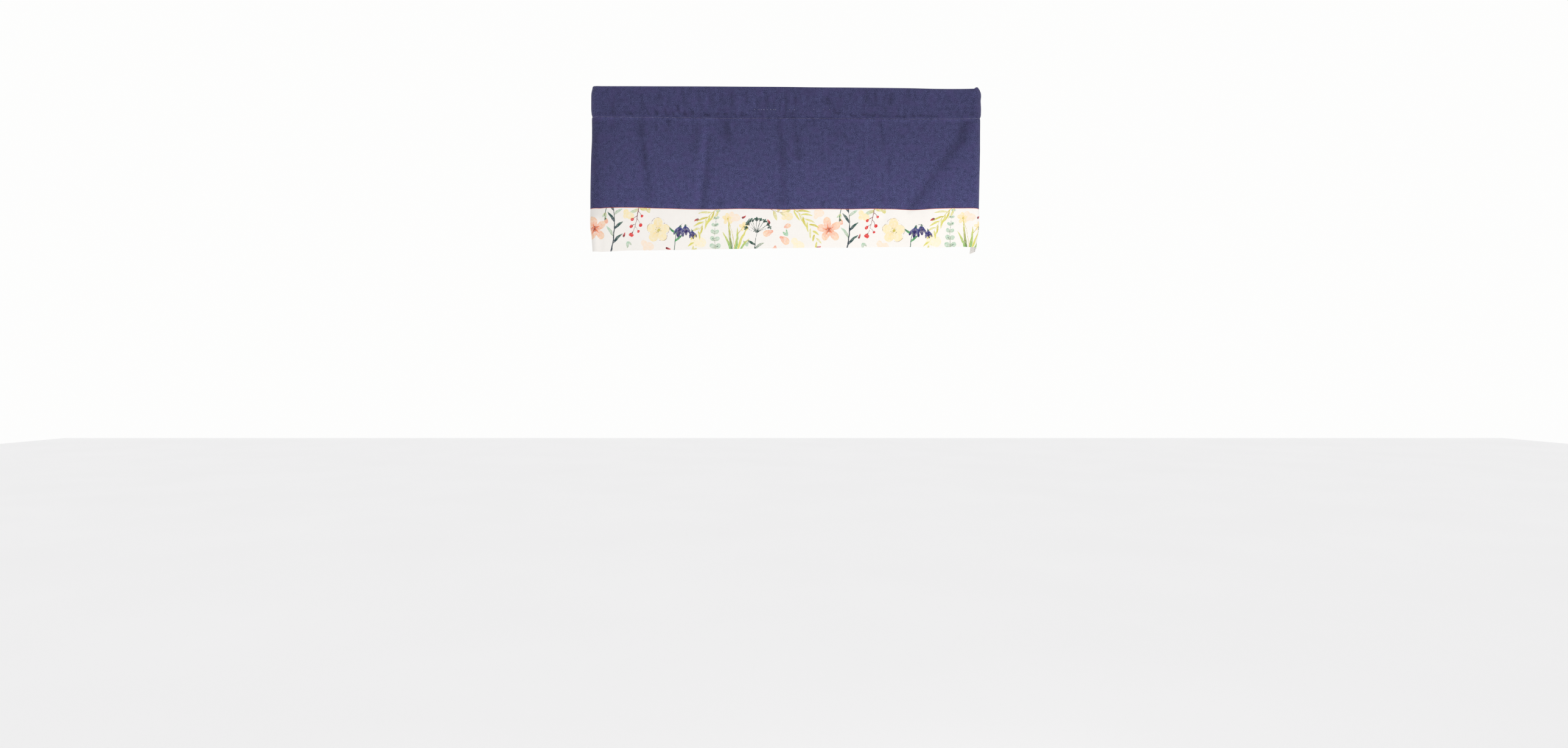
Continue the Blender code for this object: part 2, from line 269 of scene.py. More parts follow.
# Pleats, gathers and small ridges in the pocket's front, many of them caught in the stitching.
POCKET_PLEATS = folds(
    (-452, -67, -421, -80, 3.8, -2.4), (-391, -58, -380, -84, 3.2, -2),
    (-371, -60, -356, -85, 4.2, -2.3, 2), (-341, -50, -333, -86, 3.2, -2.1),
    (-320, -64, -312, -86, 3.6, -1.9), (-313, -42, -297, -80, 3.8, -2.4, 2),
    (-286, -62, -280, -87, 3.6, -2.1), (-270, -62, -256, -85, 5, -2.3, 2),
    (-230, -78, -211, -82, 3.4, -2.2), (-200, -72, -182, -81, 3.6, -2.2),
    (-184, -79, -156, -75, 3.2, -2.2), (-156, -80, -88, -82, 2.6, -1.3),
    (-132, -62, -120, -80, 4, -0.9), (-68, -62, -68, -84, 3.4, -1.3),
    (17, -60, 19, -84, 4, -1.2), (42, -70, 42, -84, 4, -1.1),
    (108, -12, 130, -62, 8, -1.9, -3), (126, -54, 152, -82, 6, -2.1, -2),
    (146, -40, 150, -84, 5, -1.3), (158, -44, 172, -72, 4.5, -1.7),
    (172, -80, 200, -83, 3, -2.2), (204, -76, 228, -82, 3.2, -2.2),
    (224, -79, 256, -82, 3.4, -2.3), (250, -81, 288, -83, 3, -2.1),
    (274, -50, 278, -74, 4.5, -1.7), (284, -82, 352, -84, 2.8, -1.7),
    (348, -83, 366, -84, 3.4, -2.3), (360, -79, 392, -82, 3.4, -2.2),
    (384, -82, 428, -84, 2.8, -1.5), (506, -76, 530, -82, 4, -1.2),
    (-516, -79, -498, -71, 5, -1), (-483, -30, -483, -92, 5, -1.3),
    (-430, -6, -429, -64, 6, -1.1), (-404, 2, -402, -84, 5.5, -1.8),
    (-356, -6, -352, -56, 7, -1.7), (-338, -20, -337, -62, 4.5, 1.2),
    (-329, -22, -330, -56, 4, -1), (-287, 2, -287, -66, 5.5, -1.8),
    (-244, -4, -244, -60, 6, -1.7), (-222, -6, -223, -76, 6, 1.3),
    (-207, 2, -206, -68, 5, -1.7), (-190, -2, -190, -66, 5, 0.9),
    (-178, -8, -177, -66, 5, -1.2), (-152, 2, -151, -70, 5.5, -1.9),
    (-130, -10, -129, -76, 6, 0.9), (-110, 2, -109, -54, 7, -1.5),
    (-90, 0, -89, -72, 4.5, 1.3), (-81, -24, -80, -62, 4, -1),
    (-68, 0, -66, -40, 4.5, 0.9), (-55, -2, -53, -62, 4.5, -1.4),
    (-43, -10, -43, -62, 4, 1), (-35, -28, -36, -68, 5, -1.1),
    (-10, -30, -8, -80, 5, 1), (0, 2, 0, -80, 5, -1.8),
    (26, -8, 25, -62, 5, -1.6), (50, -14, 49, -70, 6.5, 1.4),
    (66, 0, 62, -46, 5, -1.2), (90, 0, 92, -60, 7, 0.9),
    (182, 0, 180, -56, 5.5, -1.5), (152, -4, 153, -52, 6, -1.6),
    (210, -14, 208, -64, 7, 0.9), (192, -2, 190, -60, 4, -1),
    (224, 0, 223, -58, 6, -1.7), (249, -4, 250, -56, 5, -1.4),
    (262, -12, 263, -66, 5, 1.4), (276, -10, 274, -56, 5, -1.1),
    (298, 0, 288, -66, 7.5, -2), (340, 0, 341, -48, 6.5, -1.5),
    (357, -8, 357, -50, 5, -1.1), (372, -24, 371, -66, 6, 0.8),
    (386, -16, 386, -50, 6, -1.3), (447, -16, 447, -50, 7, -1.2),
    (484, -34, 484, -74, 8, 0.9),
)


def column(table: tuple, name: str) -> Array:
    """Read one named column of a table of millimetres.

    Args:
        table: The rows.
        name: The column.

    Returns:
        The column's values, in metres.
    """
    return np.array([getattr(row, name) for row in table], float) * MM


def ease(value: Array) -> Array:
    """Rise smoothly from 0 to 1 as the value goes from 0 to 1."""
    t = np.clip(value, 0.0, 1.0)
    return t * t * (3 - 2 * t)


def curve_through(value: Array, places: Array, readings: Array) -> Array:
    """Read a smooth curve that passes through readings at given places.

    Args:
        value: Where to read, of any shape.
        places: The places, in rising order.
        readings: One reading a place, or one row of readings for each value.

    Returns:
        The curve's values, in the shape of value.
    """
    places = np.asarray(places, float)
    readings = np.broadcast_to(readings, value.shape + places.shape)
    slopes = np.gradient(readings, places, axis=-1)
    i = np.clip(np.searchsorted(places, value) - 1, 0, len(places) - 2)
    span = places[i + 1] - places[i]
    t = np.clip((value - places[i]) / span, 0.0, 1.0)

    def pick(rows: Array, index: Array) -> Array:
        """Take one item from each row."""
        return np.take_along_axis(rows, index[..., None], -1)[..., 0]

    start = (1 + 2 * t) * (1 - t) ** 2 * pick(readings, i) + t * (1 - t) ** 2 * span * pick(slopes, i)
    end = t * t * (3 - 2 * t) * pick(readings, i + 1) + t * t * (t - 1) * span * pick(slopes, i + 1)
    return start + end


def graded(count: int, crowding: float) -> Array:
    """Spread shares from 0 to 1, closer together at both ends.

    Args:
        count: How many shares.
        crowding: 0 for an even spread, up to just under 1 for crowded ends.

    Returns:
        The shares, in rising order.
    """
    t = np.linspace(0.0, 1.0, count)
    return t - crowding * np.sin(2 * pi * t) / (2 * pi)


def near(distance: Array, width: float) -> Array:
    """Fall off smoothly from 1 as the distance passes the width."""
    return np.exp(-((distance / width) ** 2))


@dataclass(frozen=True)
class SmoothNoise:
    """Smooth noise over a plane, from -1 to 1, the same on each run."""

    seed: int
    size: int = 128

    def read(self, across: Array, up: Array) -> Array:
        """Read the noise.

        Args:
            across: Places in one direction, in the noise's own cells.
            up: Places in the other direction.

        Returns:
            The noise at those places.
        """
        lattice = np.random.default_rng(self.seed).uniform(-1, 1, (self.size, self.size))
        across, up = np.broadcast_arrays(across, up)
        i = np.floor(across).astype(int)
        j = np.floor(up).astype(int)
        right = ease(across - i)
        above = ease(up - j)
        i0, i1 = i % self.size, (i + 1) % self.size
        j0, j1 = j % self.size, (j + 1) % self.size
        low = lattice[i0, j0] * (1 - right) + lattice[i1, j0] * right
        high = lattice[i0, j1] * (1 - right) + lattice[i1, j1] * right
        return low * (1 - above) + high * above


class Octave(NamedTuple):
    """One size of unevenness: its move and its cells in millimetres, and where it starts in the noise."""

    move: float
    wide: float
    tall: float
    across: float = 0.0
    up: float = 0.0

    def read(self, noise: SmoothNoise, along: Array, height: Array) -> Array:
        """Read it from a noise, at places in metres."""
        at = along / (self.wide * MM) + self.across, height / (self.tall * MM) + self.up
        return self.move * MM * noise.read(*at)


UPRIGHT = np.inf            # the height of cells that run straight up the cloth
RUMPLES = (Octave(0.50, 55, 85), Octave(0.20, 21, 34, 40, 9), Octave(0.08, 9, 11, 7, 60))
GATHERS = Octave(0.45, 7.5, UPRIGHT, 0, 3)
SEAM_PULLS = Octave(0.22, 11, UPRIGHT, 31, 8)
POCKET_RIPPLES = (Octave(0.42, 13.5, 120), Octave(0.22, 6.2, 60, 50, 5))
POCKET_PUCKERS = Octave(0.55, 7.5, UPRIGHT, 0, 3)
POCKET_SWAY = Octave(0.60, 60, 50, 90, 20)
POCKET_SLACK = Octave(0.70, 30, 45, 13)
STITCH_WANDER = Octave(0.22, 6, UPRIGHT, 0, 3)
PRINT_SHIFTS = (Octave(0.90, 9, 9), Octave(0.35, 3.2, 3.2, 50))
PRINT_LIFTS = (Octave(0.90, 9, 9, 31, 17), Octave(0.35, 3.2, 3.2, 0, 70))


class PaintedStreak(NamedTuple):
    """A soft streak of painted shade (above 0) or painted light (below 0) beside a line of sewing, in
    millimetres from it.
    """

    strength: float
    middle: float
    width: float

    def read(self, distance: Array) -> Array:
        """Read its strength at distances in metres from the line."""
        return self.strength * near(distance - self.middle * MM, self.width * MM)


# Painted light on the pulled cloth below the pocket's stitching and above the seam, painted shade along the
# seam, and above the pocket's stitching a band of painted shade with a thin line of painted light next to
# it.
BELOW_STITCHING = PaintedStreak(-0.95, 3.6, 3.8)
SEAM_STREAK = PaintedStreak(0.25, 0.0, 1.4)
ABOVE_SEAM = PaintedStreak(-0.30, 6.5, 5.5)
POCKET_STREAKS = (PaintedStreak(0.24, 9.0, 5.5), PaintedStreak(-0.20, 1.0, 3.0))
CAUGHT_PLEATS = PaintedStreak(0.5, 9.0, 10.0)      # the pleats' painted shade is stronger where the stitching catches them

FOLD_FADE = 0.030           # a fold fades in and out over this much,
SHORT_FOLD_FADE = 0.45      # or over this share of its length where it is short


def relief_of(table: tuple[Fold, ...], along: Array, height: Array) -> Array:
    """Add up how far a table of folds moves the cloth outwards.

    Args:
        table: The folds.
        along: Places along the cloth.
        height: Heights at those places.

    Returns:
        The outward move.
    """
    along, height = np.broadcast_arrays(along, height)
    total = np.zeros(along.shape)
    for fold in table:
        head = np.array((fold.head_along, fold.head)) * MM
        foot = np.array((fold.foot_along, fold.foot)) * MM
        length = float(np.hypot(*(foot - head)))
        run = (foot - head) / length
        from_head = along - head[0], height - head[1]
        down = from_head[0] * run[0] + from_head[1] * run[1]
        bow = fold.bow * MM * np.sin(pi * np.clip(down / length, 0, 1))
        across = from_head[1] * run[0] - from_head[0] * run[1] - bow
        reach = min(FOLD_FADE, length * SHORT_FOLD_FADE)
        fade = ease(down / reach) * ease((length - down) / reach)
        total = total + fold.depth * MM * fade * near(across, fold.width * MM)
    return total


def relief_shown(down: Array) -> Array:
    """Fade the pocket's relief out in the last twentieth at the stitching and the last tenth at the fold."""
    return ease((1 - down) / 0.05) * ease(down / 0.10)


@dataclass(frozen=True)
class HungCloth:
    """The shape in which the cloth hangs, read at any place along it and at any height."""

    rumple: SmoothNoise = SmoothNoise(11)
    pucker: SmoothNoise = SmoothNoise(23)
    ripple: SmoothNoise = SmoothNoise(37)
    gathers_reach: float = 0.012        # how far down from the stitching its gathers die away
    pulls_reach: float = 0.009          # how far from the seam its pulls die away
    held_even: float = 0.0035           # how far down the stitching holds the cloth even
    stitch_dip: float = 0.00045         # how far the stitching draws the face in
    stitch_dip_width: float = 0.0014
    most_gathered: float = -0.12        # where along the pocket it is gathered most
    gathered_reach: float = 0.42
    least_gathered: float = 0.35
    puckers_reach: float = 0.16         # share of the pocket over which the stitching puckers it

    def line(self, name: str, along: Array) -> Array:
        """Read the height of one of the cloth's cross lines."""
        return curve_through(along, column(LINES, "along"), column(LINES, name))

    def place(self, along: Array, offset: Array, height: Array) -> Array:
        """Turn places on the cloth into points.

        Args:
            along: Places along the plan path.
            offset: Distances outwards from the path.
            height: Heights.

        Returns:
            The points, with X, Y and Z on the last axis.
        """
        along, offset, height = np.broadcast_arrays(along, offset, height)
        past = np.abs(along) - HALF_STRAIGHT
        angle = np.clip(past / CORNER_RADIUS, 0.0, pi / 2)
        run_back = np.maximum(past - CORNER_ARC, 0.0)
        x = np.minimum(np.abs(along), HALF_STRAIGHT) + (CORNER_RADIUS + offset) * np.sin(angle)
        y = CORNER_RADIUS - (CORNER_RADIUS + offset) * np.cos(angle) + run_back
        return np.stack((np.where(along < 0, -x, x), y, height), axis=-1)

    def hang(self, along: Array, height: Array) -> Array:
        """Read how the outer face hangs, before its folds.

        Args:
            along: Places along the cloth.
            height: Heights at those places.

        Returns:
            The face's offset from the plan path.
        """
        heights = -column(HANG, "height")
        names = Hang._fields[1:]
        offsets = np.stack([curve_through(-height, heights, column(HANG, name)) for name in names], axis=-1)
        hang = curve_through(along, np.array(HANG_PLACES) * MM, offsets)
        stitch = self.line("stitch", along)
        drop = (stitch - height) / (stitch - self.line("hem", along))
        past = (np.abs(along) - HALF_STRAIGHT - CORNER_ARC) / (HALF_PATH - HALF_STRAIGHT - CORNER_ARC)
        return hang - WALL_END_DRAW * drop * ease(past)

    def creases(self, along: Array, height: Array) -> Array:
        """Read the sharper creases and the small ridges."""
        return relief_of(CREASES, along, height)

    def unevenness(self, along: Array, height: Array) -> Array:
        """Read the cloth's small rumples, and its puckers beside the stitching and the seam.

        Args:
            along: Places along the cloth.
            height: Heights at those places.

        Returns:
            How far they move the cloth outwards.
        """
        below = self.line("stitch", along) - height
        from_seam = np.abs(height - self.line("seam", along))
        rumple = sum(octave.read(self.rumple, along, height) for octave in RUMPLES)
        gathered = GATHERS.read(self.pucker, along, height) * np.exp(-below / self.gathers_reach)
        pulled = SEAM_PULLS.read(self.pucker, along, height) * np.exp(-from_seam / self.pulls_reach)
        return ease(below / self.held_even) * (rumple + gathered + pulled)

    def face(self, along: Array, height: Array) -> Array:
        """Read the whole form of the outer face, below the stitching.

        Args:
            along: Places along the cloth.
            height: Heights at those places.

        Returns:
            The face's offset from the plan path.
        """
        along, height = np.broadcast_arrays(along, height)
        dip = self.stitch_dip * near(self.line("stitch", along) - height, self.stitch_dip_width)
        formed = self.hang(along, height) + relief_of(FOLDS, along, height) + self.creases(along, height)
        return formed + self.unevenness(along, height) - dip

    def pocket_relief(self, along: Array, down: Array) -> Array:
        """Read the ripples and pleats of the pocket's front.

        Args:
            along: Places along the cloth.
            down: Shares of the way from the fold to the stitching.

        Returns:
            How far they move the cloth outwards.
        """
        fold = self.line("fold", along)
        height = fold + (self.line("stitch", along) - fold) * down
        pleats = relief_of(POCKET_PLEATS, along, height)
        nearness = ease(1 - np.abs(along - self.most_gathered) / self.gathered_reach)
        gathered = self.least_gathered + (1 - self.least_gathered) * nearness
        ripples = sum(octave.read(self.ripple, along, height) for octave in POCKET_RIPPLES)
        puckers = POCKET_PUCKERS.read(self.pucker, along, height) * near(1 - down, self.puckers_reach)
        sway = POCKET_SWAY.read(self.rumple, along, height)
        return pleats + (ripples + puckers) * gathered + sway


class Section(NamedTuple):
    """A cloth's closed outline at every column: one array for each, columns by rows."""

    along: Array
    offset: Array
    height: Array
    climb: Array
    wrong_side: Array
    painted_shading: Array


def stations(spacing: float) -> Array:
    """Place the columns of points along the cloth.

    Args:
        spacing: The distance between columns along the front.

    Returns:
        The places, from the left wall end to the right one.
    """
    front = np.linspace(0.0, HALF_STRAIGHT, round(HALF_STRAIGHT / spacing) + 1)
    corner = HALF_STRAIGHT + CORNER_ARC * np.linspace(0.0, 1.0, 15)[1:]
    step = HALF_PATH - SIDE_HEM
    run = np.linspace(corner[-1], step - 0.0010, 26)[1:]
    turned = step + np.array((-0.3, 0.0, 0.3, 0.9)) * MM
    hem = np.linspace(step + 0.0009, HALF_PATH - 0.0015, 6)[1:]
    end = HALF_PATH - np.array((0.9, 0.4, 0.1, 0.0)) * MM
    half = np.concatenate((front, corner, run, turned, hem, end))
    return np.concatenate((-half[:0:-1], half))


def thickness_at(along: Array) -> Array:
    """Read the cloth's thickness, which its side hem more than doubles at each wall end."""
    inset = HALF_PATH - SIDE_HEM - np.abs(along)
    return CLOTH + TURNED * ease(0.5 - inset / SIDE_HEM_STEP)


def end_inset(along: Array, thickness: Array) -> Array:
    """Read how far each face draws in to round off the cloth's wall ends.

    Args:
        along: Places along the cloth.
        thickness: Its thickness there.

    Returns:
        The distance, which is 0 away from the ends.
    """
    radius = thickness / 2
    from_end = np.clip((HALF_PATH - np.abs(along)) / radius, 0.0, 1.0)
    return 0.9 * radius * (1 - np.sqrt(1 - (1 - from_end) ** 2))


def swept_shell(
    name: str,
    points: Array,
    places: Array,
    numbers: dict[str, Array],
    colours: dict[str, Array],
) -> bpy.types.Object:
    """Make a closed shell from a grid of points whose last row meets its first.

    Args:
        name: The piece's name.
        points: Columns by rows of points.
        places: Columns by rows of places on the surface's own map.
        numbers: Fields of one number a point, by name.
        colours: Fields of four numbers a point, by name.

    Returns:
        The new object, in the scene.
    """
    columns, rows = points.shape[:2]
    grid = bmesh.new()
    bmesh.ops.create_grid(grid, x_segments=rows - 1, y_segments=columns - 1, size=0.5)
    mesh = bpy.data.meshes.new(name)
    grid.to_mesh(mesh)
    grid.free()

    flat = np.zeros(len(mesh.vertices) * 3, np.float32)
    mesh.vertices.foreach_get("co", flat)
    flat = flat.reshape(-1, 3)
    row = np.rint((flat[:, 0] + 0.5) * (rows - 1)).astype(int)
    station = np.rint((flat[:, 1] + 0.5) * (columns - 1)).astype(int)
    mesh.vertices.foreach_set("co", points[station, row].astype(np.float32).ravel())

    corner = np.zeros(len(mesh.loops), np.int32)
    mesh.loops.foreach_get("vertex_index", corner)
    station, row = station[corner], row[corner]
    layer = mesh.uv_layers.new(name="UVMap")
    layer.data.foreach_set("uv", places[station, row].astype(np.float32).ravel())
    for label, values in numbers.items():
        attribute = mesh.attributes.new(label, "FLOAT", "CORNER")
        attribute.data.foreach_set("value", values[station, row].astype(np.float32))
    for label, values in colours.items():
        attribute = mesh.attributes.new(label, "FLOAT_COLOR", "CORNER")
        attribute.data.foreach_set("color", values[station, row].astype(np.float32).ravel())

    shell = bmesh.new()
    shell.from_mesh(mesh)
    bmesh.ops.remove_doubles(shell, verts=shell.verts, dist=WELD)
    rims = [edge for edge in shell.edges if edge.is_boundary]
    ends = bmesh.ops.holes_fill(shell, edges=rims, sides=0)["faces"]
    bmesh.ops.triangulate(shell, faces=ends)
    bmesh.ops.recalc_face_normals(shell, faces=shell.faces)
    shell.to_mesh(mesh)
    shell.free()
    mesh.shade_smooth()
    made = bpy.data.objects.new(name, mesh)
    bpy.context.scene.collection.objects.link(made)
    return made


def sheet_from(name: str, section: Section, cloth: HungCloth, colours: dict[str, Array]) -> bpy.types.Object:
    """Make a closed sheet of cloth from its outline at every column.

    Args:
        name: The piece's name.
        section: The outline.
        cloth: The hung shape that places it.
        colours: Colour fields to carry on the sheet, by name.

    Returns:
        The new object.
    """
    points = cloth.place(section.along, section.offset, section.height)
    along = np.broadcast_to(section.along, section.height.shape)
    places = np.stack((along, section.climb), axis=-1)
    numbers = {"wrong_side": section.wrong_side, "painted_shading": section.painted_shading}
    return swept_shell(name, points, places, numbers, colours)


def operator(operation: str, swapped: bool = False) -> Callable[["Wire", Any], "Wire"]:
    """Make an operator of wires that adds a Math node.

    Args:
        operation: The node's operation.
        swapped: Whether the wire is the second of its two values.

    Returns:
        The operator.
    """

    def apply(wire: "Wire", other: Any) -> "Wire":
        """Add the node."""
        return wire.math(operation, *((other, wire) if swapped else (wire, other)))

    return apply


class Wire:
    """An output of a material's node, on which plain arithmetic adds Math nodes."""

    __add__, __radd__ = operator("ADD"), operator("ADD", swapped=True)
    __sub__, __rsub__ = operator("SUBTRACT"), operator("SUBTRACT", swapped=True)
    __mul__, __rmul__ = operator("MULTIPLY"), operator("MULTIPLY", swapped=True)
    __truediv__ = operator("DIVIDE")
    smaller, larger = operator("MINIMUM"), operator("MAXIMUM")

    def __init__(self, shader: "Shader", socket: bpy.types.NodeSocket) -> None:
        """Keep the socket and the shader that it belongs to."""
        self.shader = shader
        self.socket = socket

    def math(self, operation: str, *terms: Any) -> "Wire":
        """Add a Math node.

        Args:
            operation: The node's operation.
            terms: Its values, numbers or wires.

        Returns:
            The node's result.
        """
        return self.shader.node("ShaderNodeMath", {"operation": operation}, dict(enumerate(terms)))

    def floor(self) -> "Wire":
        """Round down."""
        return self.math("FLOOR", self)

    def fract(self) -> "Wire":
        """Keep what is left over the last whole number."""
        return self.math("FRACT", self)

    def absolute(self) -> "Wire":
        """Drop the sign."""
        return self.math("ABSOLUTE", self)

    def cosine(self) -> "Wire":
        """Take the cosine of an angle in radians."""
        return self.math("COSINE", self)


class Shader:
    """A material's node tree, built one expression at a time."""

    def __init__(self, name: str) -> None:
        """Make an empty material with one Principled shader.

        Args:
            name: The material's name.
        """
        self.material = bpy.data.materials.new(name)
        self.material.use_nodes = True
        self.tree = self.material.node_tree
        self.surface = self.tree.nodes["Principled BSDF"]

    def node(self, kind: str, settings: dict, inputs: dict, output: int | str = 0) -> Wire:
        """Add a node.

        Args:
            kind: The node's type.
            settings: Its own settings, which are set first.
            inputs: Values or wires for its sockets, by name or number.
            output: The output to return.

        Returns:
            That output.
        """
        node = self.tree.nodes.new(kind)
        for name, value in settings.items():
            setattr(node, name, value)
        for key, value in inputs.items():
            if isinstance(value, Wire):
                self.tree.links.new(value.socket, node.inputs[key])
            else:
                node.inputs[key].default_value = value
        return Wire(self, node.outputs[output])

    def uv(self) -> tuple[Wire, Wire]:
        """Read the surface's own map.

        Returns:
            Metres along the cloth, and metres above the seam.
        """
        place = self.node("ShaderNodeUVMap", {"uv_map": "UVMap"}, {})
        parts = [self.node("ShaderNodeSeparateXYZ", {}, {0: place}, axis) for axis in ("X", "Y")]
        return parts[0], parts[1]

    def attribute(self, name: str, output: str) -> Wire:
        """Read one of the mesh's attributes."""
        return self.node("ShaderNodeAttribute", {"attribute_name": name}, {}, output)

    def vector(self, x: Any, y: Any, z: Any = 0.0) -> Wire:
        """Join three values into a vector."""
        return self.node("ShaderNodeCombineXYZ", {}, {"X": x, "Y": y, "Z": z})

    def noise(self, x: Any, y: Any, scale: float, detail: float = 2.0, roughness: float = 0.5) -> Wire:
        """Read smooth noise from 0 to 1.

        Args:
            x: One coordinate.
            y: The other.
            scale: Cells to the coordinates' unit.
            detail: Octaves of finer noise.
            roughness: How strong those are.

        Returns:
            The noise.
        """
        values = {"Vector": self.vector(x, y), "Scale": scale, "Detail": detail, "Roughness": roughness}
        return self.node("ShaderNodeTexNoise", {"noise_dimensions": "2D"}, values)

    def random(self, value: Wire) -> Wire:
        """Give each whole number its own random value from 0 to 1."""
        return self.node("ShaderNodeTexWhiteNoise", {"noise_dimensions": "1D"}, {"W": value})

    def smooth(self, value: Wire, low: float, high: float) -> Wire:
        """Rise smoothly from 0 to 1 as a value goes from low to high."""
        limits = {"Value": value, "From Min": low, "From Max": high}
        return self.node("ShaderNodeMapRange", {"interpolation_type": "SMOOTHSTEP"}, limits)

    def mix(self, first: Any, second: Any, factor: Any) -> Wire:
        """Blend one colour into another."""
        values = {0: factor, 6: first, 7: second}
        return self.node("ShaderNodeMix", {"data_type": "RGBA", "clamp_factor": True}, values, 2)

    def scaled(self, colour: Wire, value: Any) -> Wire:
        """Brighten or darken a colour by a factor."""
        return self.node("ShaderNodeVectorMath", {"operation": "SCALE"}, {0: colour, "Scale": value})

    def bump(self, height: Wire, distance: float, strength: float) -> Wire:
        """Turn a height into a normal.

        Args:
            height: The height, from 0 to 1.
            distance: The height of 1, in metres.
            strength: How much of it shows.

        Returns:
            The bent normal.
        """
        values = {"Height": height, "Distance": distance, "Strength": strength}
        return self.node("ShaderNodeBump", {}, values)

    def finish(self, linked: dict[str, Wire], constants: dict[str, Any]) -> bpy.types.Material:
        """Feed the Principled shader.

        Args:
            linked: What changes over the surface, by socket.
            constants: What is the same all over it.

        Returns:
            The finished material.
        """
        for name, wire in linked.items():
            self.tree.links.new(wire.socket, self.surface.inputs[name])
        for name, value in constants.items():
            self.surface.inputs[name].default_value = value
        return self.material


Colour = tuple[float, float, float, float]


def from_srgb(red: float, green: float, blue: float) -> Colour:
    """Turn display values from 0 to 255 into a linear colour.

    Args:
        red: The red value.
        green: The green value.
        blue: The blue value.

    Returns:
        The colour, with full alpha.
    """
    shares = np.array((red, green, blue)) / 255
    linear = np.where(shares <= 0.04045, shares / 12.92, ((shares + 0.055) / 1.055) ** 2.4)
    return (*(float(value) for value in linear), 1.0)


@dataclass(frozen=True)
class PlainWeave:
    """Warp and weft threads over and under each other, each with its own tone and thickness."""

    pitch: float
    slub: float
    seed: float

    def build(self, shader: Shader, along: Wire, climb: Wire) -> tuple[Wire, Wire]:
        """Add the weave's nodes.

        Args:
            shader: The material.
            along: Metres along the cloth.
            climb: Metres up it.

        Returns:
            The threads' height and their tone, each about 0 to 1.
        """
        drift = shader.noise(along, climb, 60.0) - 0.5
        warp = (along + drift * self.pitch) / self.pitch + self.seed
        weft = (climb + drift * self.pitch) / self.pitch + self.seed
        warp_thread, weft_thread = warp.floor(), weft.floor()
        across_warp = warp.fract() - 0.5
        across_weft = weft.fract() - 0.5
        warp_on_top = ((warp_thread + weft_thread) * 0.5).fract() * 2.0
        over_warp = (1.0 - across_warp * across_warp * 4.0) * (across_weft * pi).cosine()
        over_weft = (1.0 - across_weft * across_weft * 4.0) * (across_warp * pi).cosine()
        height = over_weft + warp_on_top * (over_warp - over_weft)
        warp_slub = shader.noise(warp_thread * 7.3, climb, 34.0, 2.0)
        weft_slub = shader.noise(along, weft_thread * 7.3, 26.0, 2.0)
        warp_tone = shader.random(warp_thread) + (warp_slub - 0.5) * self.slub
        weft_tone = shader.random(weft_thread + 311.0) + (weft_slub - 0.5) * self.slub
        tone = weft_tone + warp_on_top * (warp_tone - weft_tone)
        return height, tone


@dataclass(frozen=True)
class NavyCanvas:
    """Matt plain-weave cotton canvas, navy with a violet cast, with painted light that makes it lighter
    towards its lower edge, and painted shade on the pocket and in the creases.
    """

    deep: Colour = (0.0110, 0.0112, 0.0480, 1.0)
    light: Colour = (0.0960, 0.0985, 0.2390, 1.0)
    violet: Colour = (0.0640, 0.0500, 0.1540, 1.0)
    weave: PlainWeave = PlainWeave(pitch=0.00085, slub=1.1, seed=200.0)
    painted_light_low: float = 1.12
    painted_shade_high: float = 0.935
    painted_light_top: float = 0.25              # how far above the seam the painted light reaches; the cloth is painted darker up to there
    pocket_painted_shade: float = 0.045         # how much painted shade darkens the pocket,
    pocket_from: float = 0.252          # from this far above the seam
    pocket_blend: float = 0.010
    # How strong the painted shade from the mesh's painted shading field is on the canvas.
    crease_shade: float = 0.25
    mottle: tuple[float, ...] = (95.0, 2.0, 0.55)       # each noise: cells a metre, octaves, roughness
    grain: tuple[float, ...] = (560.0, 3.0, 0.62)
    cloud: tuple[float, ...] = (38.0, 2.0)
    fuzz: tuple[float, ...] = (2600.0, 2.0)

    def material(self) -> bpy.types.Material:
        """Build the canvas.

        Returns:
            The material.
        """
        shader = Shader("navy_canvas_cloth")
        along, climb = shader.uv()
        height, tone = self.weave.build(shader, along, climb)
        mottle = shader.noise(along, climb, *self.mottle)
        grain = shader.noise(along, climb, *self.grain)
        cloud = shader.noise(along, climb, *self.cloud)
        blend = 0.5 + (mottle - 0.5) * 0.60 + (grain - 0.5) * 3.1
        # The threads' own tone, and painted shade where the weave dips between the threads.
        blend = blend + (tone - 0.5) * 0.13 + (height - 0.5) * 0.30
        colour = shader.mix(self.deep, self.light, blend)
        colour = shader.mix(colour, self.violet, shader.smooth(cloud, 0.42, 0.72) * 0.38)
        # Painted light and shade: the canvas is painted lighter towards the seam and darker higher up.
        lower = 1.0 - shader.smooth(climb, 0.0, self.painted_light_top)
        toned = self.painted_shade_high + lower * (self.painted_light_low - self.painted_shade_high)
        # Painted shade over the whole pocket.
        on_pocket = shader.smooth(climb, self.pocket_from, self.pocket_from + self.pocket_blend)
        toned = toned - on_pocket * self.pocket_painted_shade
        # Painted shade in the creases and where the cloth turns away, and painted light beside the sewing,
        # from the mesh's painted shading field.
        creased = 1.0 - shader.attribute("painted_shading", "Fac") * self.crease_shade
        colour = shader.scaled(colour, toned * creased)
        fuzz = shader.noise(along, climb, *self.fuzz)
        normal = shader.bump(height * 0.8 + fuzz * 0.35 + tone * 0.15, 0.00022, 0.65)
        rough = 0.84 + (grain - 0.5) * 0.16
        linked = {"Base Color": colour, "Roughness": rough, "Normal": normal}
        constants = {
            "Specular IOR Level": 0.22,
            "Sheen Weight": 0.10,
            "Sheen Roughness": 0.55,
            "Sheen Tint": (0.62, 0.60, 0.78, 1.0),
        }
        return shader.finish(linked, constants)


